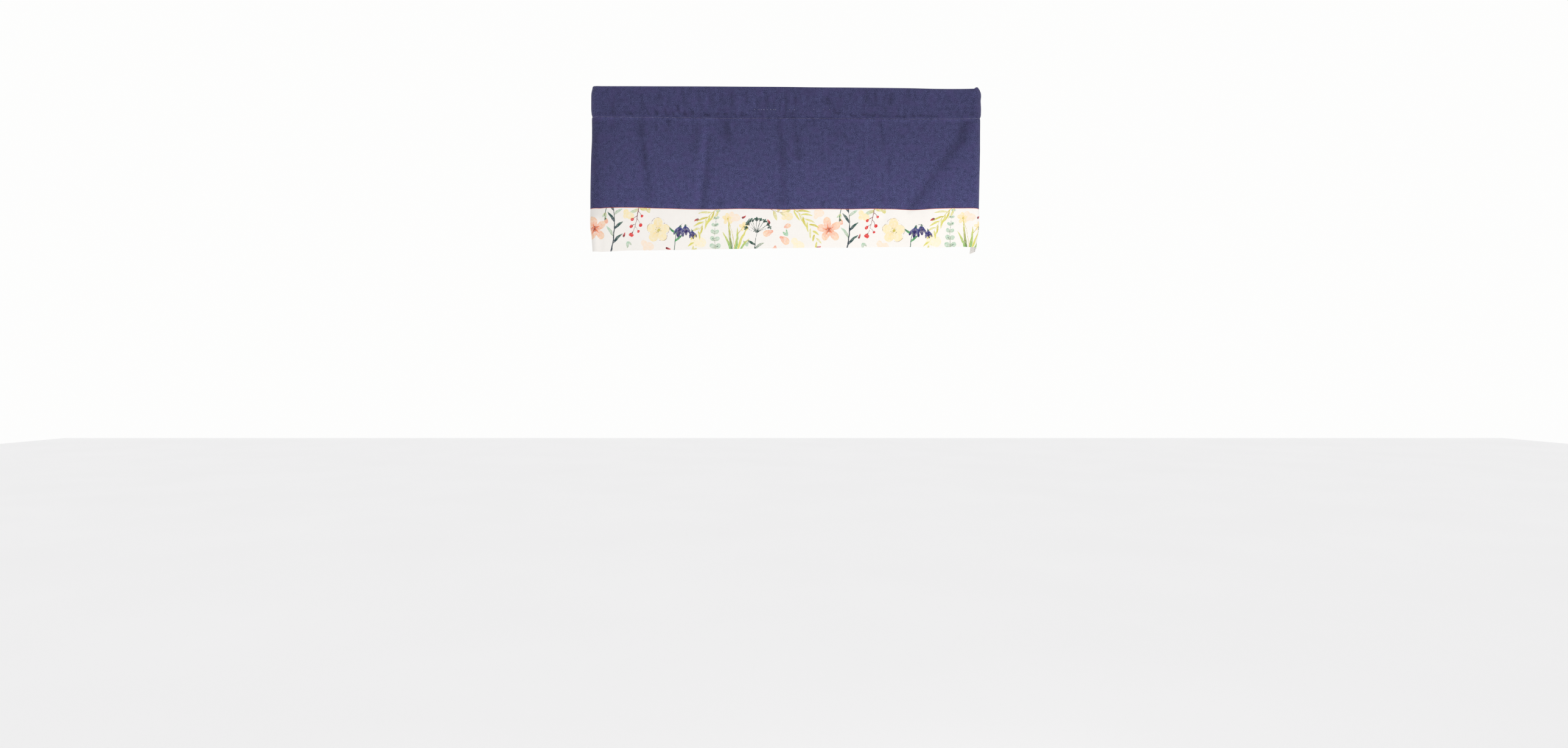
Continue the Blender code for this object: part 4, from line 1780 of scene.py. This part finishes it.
@dataclass
class RodPocket(ClothPiece):
    """The top of the canvas, folded over to the back and stitched down round the rod's room."""

    name: str = "rod_pocket_cloth"
    nodes: tuple[str, ...] = ("rod_pocket_left", "rod_pocket_front", "rod_pocket_right")
    cut_length: float = 0.198
    front_rows: int = 38
    fold_rows: int = 16
    back_rows: int = 28
    back_gap: float = 0.0010            # between the two layers, besides their thickness
    turned_in: float = 0.0009           # what the turned edge adds to the back layer
    turned_width: float = 0.008         # how wide it is above the stitching
    turned_step: float = 0.0015         # width of the step on to it
    full_crease: float = 0.0021         # a pleat this deep gets the full painted shade
    contrast: float = 1.25              # a power that keeps the painted shade of shallow pleats faint
    light_at_fold: float = 0.05         # share of the pocket over which the pleats' painted shade fades out at the fold
    lip: tuple[float, ...] = (0.05, 0.30, 0.85)     # how the last rows round off the turned edge, in mm

    def row_places(self, marks: Array) -> Array:
        """Space the rows round the pocket, closer at the stitching.

        Args:
            marks: The distance round the outline of each of its named points.

        Returns:
            The rows' distances round it.
        """
        front_top, back_top, stitched, edge = marks[FRONT_TOP], marks[BACK_TOP], marks[-2], marks[-1]
        front = front_top * graded(self.front_rows, 0.60)
        fold = np.linspace(front_top, back_top, self.fold_rows)[1:-1]
        back = back_top + (stitched - back_top) * graded(self.back_rows, 0.45)
        turned = stitched + (edge - stitched) * np.array((0.35, 0.72, 1.0))
        return np.concatenate((front, fold, back, turned))

    def rows(self, along: Array, thickness: Array) -> PocketRows:
        """Run the rows round the pocket.

        Args:
            along: The places of the columns.
            thickness: The cloth's thickness there.

        Returns:
            The plain outline.
        """
        cloth = self.cloth
        fold, stitch = (cloth.line(name, along) for name in ("fold", "stitch"))
        face = cloth.face(along, stitch)
        behind = face - 2 * thickness - self.back_gap
        downs = np.array([1.0, *(row.down for row in POCKET_RISE), 1.0, TURNED_EDGE_DOWN])
        middle = np.array([row.offset * MM for row in POCKET_RISE])
        middle = np.broadcast_to(middle, (len(along), len(middle)))
        offsets = np.concatenate((face, middle, behind, behind), axis=1)
        nominal = np.stack((offsets.mean(axis=0), -downs * NOMINAL_DROP))
        marks = np.concatenate(([0.0], np.cumsum(np.hypot(*np.diff(nominal, axis=1)))))

        places = self.row_places(marks)
        places = np.broadcast_to(places, (len(along), len(places)))
        offset = curve_through(places, marks, offsets[:, None, :])
        down = curve_through(places, marks, downs)
        pinch = sum(item.height * MM * near(along - item.along * MM, item.width * MM) for item in PINCHES)
        height = fold + (stitch - fold) * down + pinch * np.maximum(1 - down / PINCH_REACH, 0.0)
        return PocketRows(places, offset, height, down, places < marks[CROWN], places - marks[-2])

    def shading(self, rows: PocketRows, pleated: Array, above: Array) -> Array:
        """Read the painted shade in the front's pleats, darkest where the stitching catches them, with
        streaks of painted shade and light above the stitching.

        Args:
            rows: The plain outline.
            pleated: How far the pleats move the cloth outwards.
            above: Heights above the stitching.

        Returns:
            The painted shading field of the outer face.
        """
        painted_streaks = sum(streak.read(above) for streak in POCKET_STREAKS)
        caught = 1.0 + CAUGHT_PLEATS.read(above)
        dark = -pleated / self.full_crease * caught * ease(rows.down / self.light_at_fold)
        dark = np.where(dark > 0, np.abs(dark) ** self.contrast, dark)
        return np.clip(np.where(rows.on_front, dark + painted_streaks, 0.0), -0.7, 1.15)

    def build(self, material: bpy.types.Material) -> bpy.types.Object:
        """Make the pocket.

        Args:
            material: The canvas.

        Returns:
            The piece.
        """
        along = self.columns()
        cloth = self.cloth
        stitch, seam = (cloth.line(name, along) for name in ("stitch", "seam"))
        thickness = thickness_at(along)
        rows = self.rows(along, thickness)
        pleated = cloth.pocket_relief(along, rows.down)
        front = pleated + relief_of(CORNER_BULGES, along, rows.height)
        slack = POCKET_SLACK.read(cloth.rumple, along, rows.places)
        relief = np.where(rows.on_front, front, slack) * relief_shown(rows.down)

        rise, out = np.gradient(rows.height, axis=1), np.gradient(rows.offset, axis=1)
        size = np.hypot(rise, out)
        rise, out = rise / size, out / size
        inset = end_inset(along, thickness)
        doubled = self.turned_in * ease((rows.past_stitches + self.turned_width) / self.turned_step)
        lip = np.zeros(rows.places.shape[1])
        lip[-len(self.lip):] = np.array(self.lip) * MM
        outer = relief - inset - lip
        inner = relief - thickness - doubled + inset + lip * 0.6

        def loop(outside: Array, inside: Array) -> Array:
            """Run round the outer face, back round the inner one, and repeat the first row."""
            return np.concatenate((outside, inside[:, ::-1], outside[:, :1]), axis=1)

        offset = loop(rows.offset + rise * outer, rows.offset + rise * inner)
        outer_height = rows.height - out * outer
        height = loop(outer_height, rows.height - out * inner)
        climb = stitch - seam + rows.places
        # Painted shade in the front's pleats and in streaks above the stitching, none on the inner face.
        shade = self.shading(rows, pleated, outer_height - stitch)
        blank = np.zeros(shade.shape)
        section = Section(along, offset, height, loop(climb, climb), loop(blank, blank), loop(shade, blank))
        return self.dress(sheet_from(self.name, section, cloth, {}), material)


@dataclass
class CanvasPanel(ClothPiece):
    """The single layer of canvas from the stitching down to the seam."""

    name: str = "body_panel_cloth"
    nodes: tuple[str, ...] = ("body_panel",)
    hangs_from: str = "rod_pocket_cloth"
    cut_length: float = 0.266
    front_rows: int = 92
    back_rows: int = 26

    def build(self, material: bpy.types.Material) -> bpy.types.Object:
        """Make the panel.

        Args:
            material: The canvas.

        Returns:
            The piece.
        """
        along = self.columns()
        stitch, seam = (self.cloth.line(name, along) for name in ("stitch", "seam"))
        thickness = thickness_at(along)
        inset = end_inset(along, thickness)
        rows = RowStack(along)
        height = stitch + (seam + ROLL - stitch) * graded(self.front_rows, 0.62)
        rows.add(height, inset, height - seam)
        turn = np.radians((22, 45, 68, 90))
        height = seam + ROLL * (1 - np.sin(turn))
        rows.add(height, inset + (thickness - 2 * inset) * 0.98 * (1 - np.cos(turn)), height - seam)
        height = seam + (stitch - seam) * graded(self.back_rows, 0.4)
        rows.add(height, thickness - inset, height - seam)
        rows.add(stitch, inset, stitch - seam)
        made = sheet_from(self.name, rows.section(self.cloth), self.cloth, {})
        return self.dress(made, material)


# The raw edge pressed up behind the seam, up one face and down the other: how far above the seam, and how
# far behind the outer face.
ALLOWANCE_UP = ((0.5, 1.02), (2.5, 1.06), (9.3, 1.06), (9.9, 1.5), (10.0, 2.2), (9.9, 2.9), (9.2, 3.3))
ALLOWANCE_DOWN = ((6.0, 3.32), (2.9, 3.3), (1.2, 3.05), (-0.6, 2.3), (-2.4, 1.5), (-4.4, 1.08))

# The step on to the hem's turned edge, on the cloth's wrong side and then on its right side: how far above
# the hem's top, and the share of the hem's own thickness there.
HEM_STEP = ((0.35, 0.0), (0.08, 0.10))
HEM_EDGE = ((0.22, 0.45), (0.18, 0.75), (-0.15, 0.95), (-0.8, 1.0))


class BandEdges(NamedTuple):
    """The band's lines and thicknesses at every column."""

    seam: Array
    foot: Array
    thickness: Array
    hem: Array              # the thickness of the hem
    inset: Array


@dataclass
class PrintBand(ClothPiece):
    """The printed strip: its raw edge pressed up behind the seam, and a deep hem turned up at its back."""

    name: str = "print_band_cloth"
    slot: str = "printed_cotton"
    nodes: tuple[str, ...] = ("print_band",)
    hangs_from: str = "body_panel_cloth"
    cut_length: float = 0.170
    front_rows: int = 62
    back_rows: int = 18
    hem_rows: int = 20
    pressed: float = 0.6                # how much flatter the hem's turned edge is over the side hem

    def add_front(self, rows: RowStack, at: BandEdges) -> None:
        """Run round the hem's fold, up the front and over the roll into the seam.

        Args:
            rows: The outline so far.
            at: The band's edges.
        """
        radius = at.hem / 2
        turn = np.radians((0, 30, 60, 90))
        height = at.foot + radius * (1 - np.cos(turn))
        rows.add(height, at.inset + (radius - at.inset) * (1 - np.sin(turn)), height - at.seam)
        span = at.seam - ROLL - at.foot - radius
        height = at.foot + radius + span * graded(self.front_rows, 0.35)[1:]
        rows.add(height, at.inset, height - at.seam)
        turn = np.radians((25, 50, 75, 90))
        height = at.seam - ROLL + ROLL * np.sin(turn)
        rows.add(height, at.inset + 0.95 * ROLL * (1 - np.cos(turn)), height - at.seam)

    def add_back(self, rows: RowStack, at: BandEdges) -> None:
        """Run round the seam's raw edge and down the wrong side to the hem's turned edge.

        Args:
            rows: The outline so far.
            at: The band's edges.
        """
        for table, inset in ((ALLOWANCE_UP, 0.0), (ALLOWANCE_DOWN, at.inset)):
            up, back = np.array(table).T * MM
            rows.add(at.seam + up, back + at.thickness - CLOTH - inset, up, 1.0)
        top, bottom = at.seam - 0.0060, at.foot + HEM_DEPTH + 0.0010
        height = top + (bottom - top) * np.linspace(0, 1, self.back_rows)
        rows.add(height, at.thickness - at.inset, height - at.seam, 1.0)

    def add_hem(self, rows: RowStack, at: BandEdges) -> None:
        """Step on to the hem's turned edge and run down its back, which shows the cloth's right side.

        Args:
            rows: The outline so far.
            at: The band's edges.
        """
        hem_top = at.foot + HEM_DEPTH
        turned_up = 2 * at.foot - at.seam
        for table, wrong_side in ((HEM_STEP, 1.0), (HEM_EDGE, 0.0)):
            up, share = np.array(table).T
            height = hem_top + up * MM
            depth = at.thickness + (at.hem - at.thickness) * share - at.inset
            rows.add(height, depth, height - at.seam if wrong_side else turned_up - height, wrong_side)
        radius = at.hem / 2
        top, bottom = hem_top - 0.0020, at.foot + radius
        height = top + (bottom - top) * np.linspace(0, 1, self.hem_rows)
        rows.add(height, at.hem - at.inset, turned_up - height)
        turn = np.radians((60, 30, 0))
        height = at.foot + radius * (1 - np.cos(turn))
        depth = at.hem - at.inset - (radius - at.inset) * (1 - np.sin(turn))
        rows.add(height, depth, turned_up - height)

    def build(self, material: bpy.types.Material) -> bpy.types.Object:
        """Make the band.

        Args:
            material: The printed cotton.

        Returns:
            The piece.
        """
        along = self.columns()
        seam, foot = (self.cloth.line(name, along) for name in ("seam", "hem"))
        thickness = thickness_at(along)
        side_hem = (thickness - CLOTH) / TURNED
        hem = thickness + TURNED * (1 - self.pressed * side_hem)
        at = BandEdges(seam, foot, thickness, hem, end_inset(along, thickness))
        rows = RowStack(along)
        self.add_front(rows, at)
        self.add_back(rows, at)
        self.add_hem(rows, at)
        section = rows.section(self.cloth)
        flowers = FlowerPrint()
        flowers.design()
        fields = flowers.paint(along, section.climb)
        log.info("print: %d strokes", len(flowers.strokes))
        return self.dress(sheet_from(self.name, section, self.cloth, fields), material)


@dataclass
class Sewing:
    """Every line of stitches: threads that dive into the cloth between one stitch and the next."""

    cloth: HungCloth
    pitch: float = 0.0032
    overlock_pitch: float = 0.0030
    slip_pitch: float = 0.0065
    radius: float = 0.00023
    arch: float = 0.00062               # how high a stitch arches over its ends
    dive: float = 0.00045               # how deep its ends lie in the cloth
    steps: int = 8
    end_margin: float = 0.0015
    slip_end_margin: float = 0.004
    side_hem_inset: float = 0.0095
    prick_height: float = -0.0642
    pricks: tuple[int, ...] = (-88, -76, -69, -62, -53, -43, -35, -30, 10, 23, 77, 105, 121)    # in mm
    long_pricks: tuple[int, ...] = (3, 5)
    prick_span: float = 0.0011          # half the length of a prick
    long_prick_span: float = 0.0017
    faint_from: int = 8                 # from this one on the pricks are shorter,
    faint_share: float = 0.75           # by this share
    prick_step: float = 0.0004          # every other prick is lower
    prick_lift: float = 0.0001          # how far the pricks stand clear of the pleats
    below_fold: float = 0.007           # how far below the fold the side hems' stitching starts,
    seam_clear: float = 0.001           # how far it stops short of the seam
    foot_clear: float = 0.0015          # and of the foot of the hem
    overlock_foot: float = 0.0042       # how far below the raw edge the zigzag starts
    overlock_swing: float = 0.0043
    overlock_lift: float = 0.00012      # how far behind the allowance it lies
    overlock_wrap: float = 0.0007       # how far it wraps over the edge, in the last fifth of its swing
    slip_rise: float = 0.0022           # how far a slip stitch climbs, half of it above the hem's edge
    slip_lift: float = 0.00018          # how far its climbing thread stands off the cloth
    slip_clear: float = 0.00008         # the most that it stands off the hem

    def lift(self, phase: Array) -> Array:
        """Read how high the thread lies over the cloth at a share of one stitch."""
        return self.arch * np.sin(pi * (phase % 1.0)) ** 0.6 - self.dive

    def stitch_run(self, length: float, pitch: float, steps: int) -> tuple[Array, Array]:
        """Space points along a row of stitches.

        Args:
            length: The row's length.
            pitch: The length of one stitch.
            steps: How many points a stitch takes.

        Returns:
            The points' places counted in stitches, and as shares of the row.
        """
        count = round(length / pitch)
        phase = np.linspace(0, count, count * steps + 1)
        return phase, phase / count

    def thread(
        self, name: str, path: Array, outward: Array, material: bpy.types.Material, sides: int = 6
    ) -> bpy.types.Object:
        """Make a thread along a path.

        Args:
            name: The piece's name.
            path: The points along its middle.
            outward: The direction away from the cloth at each point.
            material: Its finish.
            sides: How many sides it has.

        Returns:
            The piece.
        """
        run = np.gradient(path, axis=0)
        run = run / np.linalg.norm(run, axis=1, keepdims=True)
        side = np.cross(run, outward)
        side = side / np.linalg.norm(side, axis=1, keepdims=True)
        out = np.cross(side, run)
        angle = np.linspace(0, 2 * pi, sides + 1)[None, :, None]
        rings = path[:, None] + self.radius * (np.cos(angle) * out[:, None] + np.sin(angle) * side[:, None])
        length = np.concatenate(([0.0], np.cumsum(np.linalg.norm(np.diff(path, axis=0), axis=1))))
        around = np.linspace(0, 1, sides + 1)
        places = np.stack(np.broadcast_arrays(length[:, None], around[None, :]), axis=-1)
        made = swept_shell(name, rings, places, {}, {})
        made.data.materials.append(material)
        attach(made, "root")
        log.info("%s: %d faces", name, len(made.data.polygons))
        return made

    def outward(self, along: Array, height: Array, sign: float) -> Array:
        """Return the direction away from the plan path, or towards it where sign is -1."""
        step = self.cloth.place(along, MM, height) - self.cloth.place(along, 0.0, height)
        return sign * step / np.linalg.norm(step, axis=1, keepdims=True)

    def pocket_lines(self, material: bpy.types.Material) -> None:
        """Stitch the pocket down, on the front and at the back.

        Args:
            material: The thread.
        """
        cloth = self.cloth
        end = HALF_PATH - self.end_margin
        phase, share = self.stitch_run(2 * end, self.pitch, self.steps)
        along = end * (2 * share - 1)
        height = cloth.line("stitch", along) + STITCH_WANDER.read(cloth.rumple, along, 0.0)
        face = cloth.face(along, cloth.line("stitch", along))
        front = cloth.place(along, face + self.lift(phase), height)
        self.thread("pocket_stitching_front", front, self.outward(along, height, 1.0), material)
        behind = face - 2 * thickness_at(along) - RodPocket.back_gap
        back = cloth.place(along, behind - self.lift(phase + 0.5), height)
        self.thread("pocket_stitching_back", back, self.outward(along, height, -1.0), material)

    def front_offset(self, along: float, height: Array) -> Array:
        """Read the offset of the whole valance's outer face, pocket and all, down one column.

        Args:
            along: The column's place.
            height: Heights down it.

        Returns:
            The offsets.
        """
        cloth = self.cloth
        column_at = np.full(height.shape, along)
        fold, stitch = cloth.line("fold", column_at), cloth.line("stitch", column_at)
        down = (fold - height) / (fold - stitch)
        rise = POCKET_RISE[CROWN - 1 :: -1]
        sewn = float(cloth.face(column_at[:1], stitch[:1])[0])
        downs = [row.down for row in rise] + [1.0]
        offsets = [row.offset * MM for row in rise] + [sewn]
        relief = cloth.pocket_relief(column_at, down) * relief_shown(down)
        pocket = np.interp(down, downs, offsets) + relief
        return np.where(height > stitch, pocket, cloth.face(column_at, np.minimum(height, stitch)))

    def side_hem_lines(self, canvas_thread: bpy.types.Material, cotton_thread: bpy.types.Material) -> None:
        """Stitch the side hems at both wall ends.

        Args:
            canvas_thread: The thread on the canvas.
            cotton_thread: The thread on the band.
        """
        for side, word in ((-1, "left"), (1, "right")):
            along = side * (HALF_PATH - self.side_hem_inset)
            place = np.array([along])
            fold, seam, foot = (float(self.cloth.line(name, place)[0]) for name in ("fold", "seam", "hem"))
            for top, bottom, cloth_name, material in (
                (fold - self.below_fold, seam + self.seam_clear, "canvas", canvas_thread),
                (seam - self.seam_clear, foot + self.foot_clear, "band", cotton_thread),
            ):
                phase, share = self.stitch_run(top - bottom, self.pitch, self.steps)
                height = top + (bottom - top) * share
                column_at = np.full(height.shape, along)
                offset = self.front_offset(along, height) + self.lift(phase)
                path = self.cloth.place(column_at, offset, height)
                outward = self.outward(column_at, height, 1.0)
                self.thread(f"side_hem_stitching_{cloth_name}_{word}", path, outward, material)

    def overlock(self, material: bpy.types.Material) -> None:
        """Bind the raw edge of the seam allowance with a zigzag of thread.

        Args:
            material: The thread.
        """
        cloth = self.cloth
        end = HALF_PATH - self.end_margin
        phase, share = self.stitch_run(2 * end, self.overlock_pitch, 6)
        along = end * (2 * share - 1)
        swing = np.abs(2 * (phase % 1.0) - 1)
        foot = cloth.line("seam", along) + SEAM_ALLOWANCE - self.overlock_foot
        height = foot + self.overlock_swing * swing
        depth = ALLOWANCE_BACK + thickness_at(along) - CLOTH + self.overlock_lift
        depth = depth - self.overlock_wrap * ease((swing - 0.8) / 0.2)
        path = cloth.place(along, cloth.face(along, height) - depth, height)
        self.thread("seam_overlock", path, self.outward(along, height, -1.0), material, sides=5)

    def hem_line(self, material: bpy.types.Material) -> None:
        """Catch the hem's turned edge down at the back with slanting slip stitches.

        Args:
            material: The thread.
        """
        cloth = self.cloth
        end = HALF_PATH - self.slip_end_margin
        phase, share = self.stitch_run(2 * end, self.slip_pitch, self.steps)
        along = end * (2 * share - 1)
        turn = phase % 1.0
        climbing = turn < 0.5
        edge = cloth.line("hem", along) + HEM_DEPTH
        climbed = np.where(climbing, ease(2 * turn), 1 - ease(2 * turn - 1))
        height = edge + self.slip_rise * (climbed - 0.5)
        thickness = thickness_at(along)
        depth = thickness + TURNED * (1 - ease((height - edge + 0.0003) / 0.0009))
        depth = depth + np.where(climbing, self.slip_lift, -self.dive)
        depth = np.minimum(depth, thickness + TURNED + self.slip_clear)
        path = cloth.place(along, cloth.face(along, height) - depth, height)
        self.thread("hem_slip_stitching", path, self.outward(along, height, -1.0), material, sides=5)

    def prick_stitches(self, material: bpy.types.Material) -> None:
        """Leave a few short pale pricks of thread low on the pocket's front.

        Args:
            material: The thread.
        """
        for index, mark in enumerate(self.pricks):
            span = self.long_prick_span if index in self.long_pricks else self.prick_span
            span = span if index < self.faint_from else span * self.faint_share
            along = np.linspace(mark * MM - span, mark * MM + span, 5)
            height = np.full(along.shape, self.prick_height - self.prick_step * (index % 2))
            face = np.array([self.front_offset(float(place), height[:1])[0] for place in along])
            offset = face + self.lift(np.linspace(0, 1, 5)) + self.prick_lift
            path = self.cloth.place(along, offset, height)
            self.thread(f"prick_stitch_{index:02d}", path, self.outward(along, height, 1.0), material)


@dataclass
class Studio:
    """The camera at the front, a pale floor and soft light."""

    image_width: int = 2576
    scale: float = 0.001698             # metres to a pixel at the front face
    middle_x: float = -0.006
    middle_z: float = -0.802
    distance: float = 2.35
    floor_z: float = -2.05
    floor_size: float = 14.0
    far_end: float = 60.0               # of what the camera sees
    sensor: float = 36.0                # its width in millimetres

    def camera(self) -> None:
        """Set the camera level, square to the front and lower than the hem."""
        data = bpy.data.cameras.new("front_camera")
        data.sensor_width = self.sensor
        front_face = self.distance - HALF_POCKET
        data.lens = self.sensor * front_face / (self.image_width * self.scale)
        data.clip_end = self.far_end
        made = bpy.data.objects.new("front_camera", data)
        made.location = (self.middle_x, -self.distance, self.middle_z)
        made.rotation_euler = (pi / 2, 0.0, 0.0)
        bpy.context.scene.collection.objects.link(made)
        bpy.context.scene.camera = made

    def soft_box(self, name: str, at: tuple, target: tuple, size: tuple, power: float, tint: tuple) -> None:
        """Hang one soft light.

        Args:
            name: Its name.
            at: Where it is.
            target: The point that it faces.
            size: Its width and height.
            power: Its power in watts.
            tint: Its colour.
        """
        data = bpy.data.lights.new(name, "AREA")
        data.shape = "RECTANGLE"
        data.size, data.size_y = size
        data.energy = power
        data.color = tint
        made = bpy.data.objects.new(name, data)
        made.location = at
        facing = Vector(target) - Vector(at)
        made.rotation_euler = facing.to_track_quat("-Z", "Y").to_euler()
        made.visible_camera = False
        bpy.context.scene.collection.objects.link(made)

    def lights(self) -> None:
        """Light the front a little from below; the pale room around does the rest."""
        self.soft_box("key", (0.80, -1.30, -1.15), (0.0, 0.0, -0.24), (1.2, 1.0), 7.0, (1.0, 0.985, 0.96))

    def world(self) -> None:
        """Surround the valance with a pale even sky that lights it more softly than it looks."""
        world = bpy.data.worlds.new("pale_room")
        bpy.context.scene.world = world
        world.use_nodes = True
        tree = world.node_tree
        seen = tree.nodes["Background"]
        seen.inputs["Color"].default_value = (0.985, 0.985, 0.98, 1.0)
        lit = tree.nodes.new("ShaderNodeBackground")
        lit.inputs["Color"].default_value = (0.925, 0.925, 0.935, 1.0)
        path = tree.nodes.new("ShaderNodeLightPath")
        mix = tree.nodes.new("ShaderNodeMixShader")
        tree.links.new(path.outputs["Is Camera Ray"], mix.inputs[0])
        tree.links.new(lit.outputs[0], mix.inputs[1])
        tree.links.new(seen.outputs[0], mix.inputs[2])
        tree.links.new(mix.outputs[0], tree.nodes["World Output"].inputs["Surface"])

    def floor(self) -> None:
        """Lay the floor."""
        shell = bmesh.new()
        bmesh.ops.create_grid(shell, x_segments=8, y_segments=8, size=self.floor_size)
        for vert in shell.verts:
            vert.co.z = self.floor_z
        mesh = bpy.data.meshes.new("floor")
        shell.to_mesh(mesh)
        shell.free()
        made = bpy.data.objects.new("floor", mesh)
        bpy.context.scene.collection.objects.link(made)
        made.data.materials.append(PaleFloor().material())

    def build(self) -> None:
        """Set up the whole studio."""
        self.camera()
        self.lights()
        self.world()
        self.floor()
        bpy.context.scene.view_settings.view_transform = "Standard"


def main() -> None:
    """Dress the valance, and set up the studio.
    """
    logging.basicConfig(level=logging.INFO, format="%(message)s")
    cloth = HungCloth()
    canvas = NavyCanvas().material()
    RodPocket(cloth).build(canvas)
    CanvasPanel(cloth).build(canvas)
    PrintBand(cloth).build(PrintedCotton().material())
    navy = SewingThread("navy_thread", from_srgb(188, 183, 216), from_srgb(130, 126, 165), 0.72).material()
    white = SewingThread("white_thread", from_srgb(240, 236, 226), from_srgb(206, 198, 184)).material()
    pale = SewingThread("pale_thread", from_srgb(250, 250, 255), from_srgb(220, 218, 236)).material()
    sewing = Sewing(cloth)
    sewing.pocket_lines(navy)
    sewing.side_hem_lines(navy, white)
    sewing.overlock(white)
    sewing.hem_line(white)
    sewing.prick_stitches(pale)
    Studio().build()


if __name__ == "__main__":
    main()
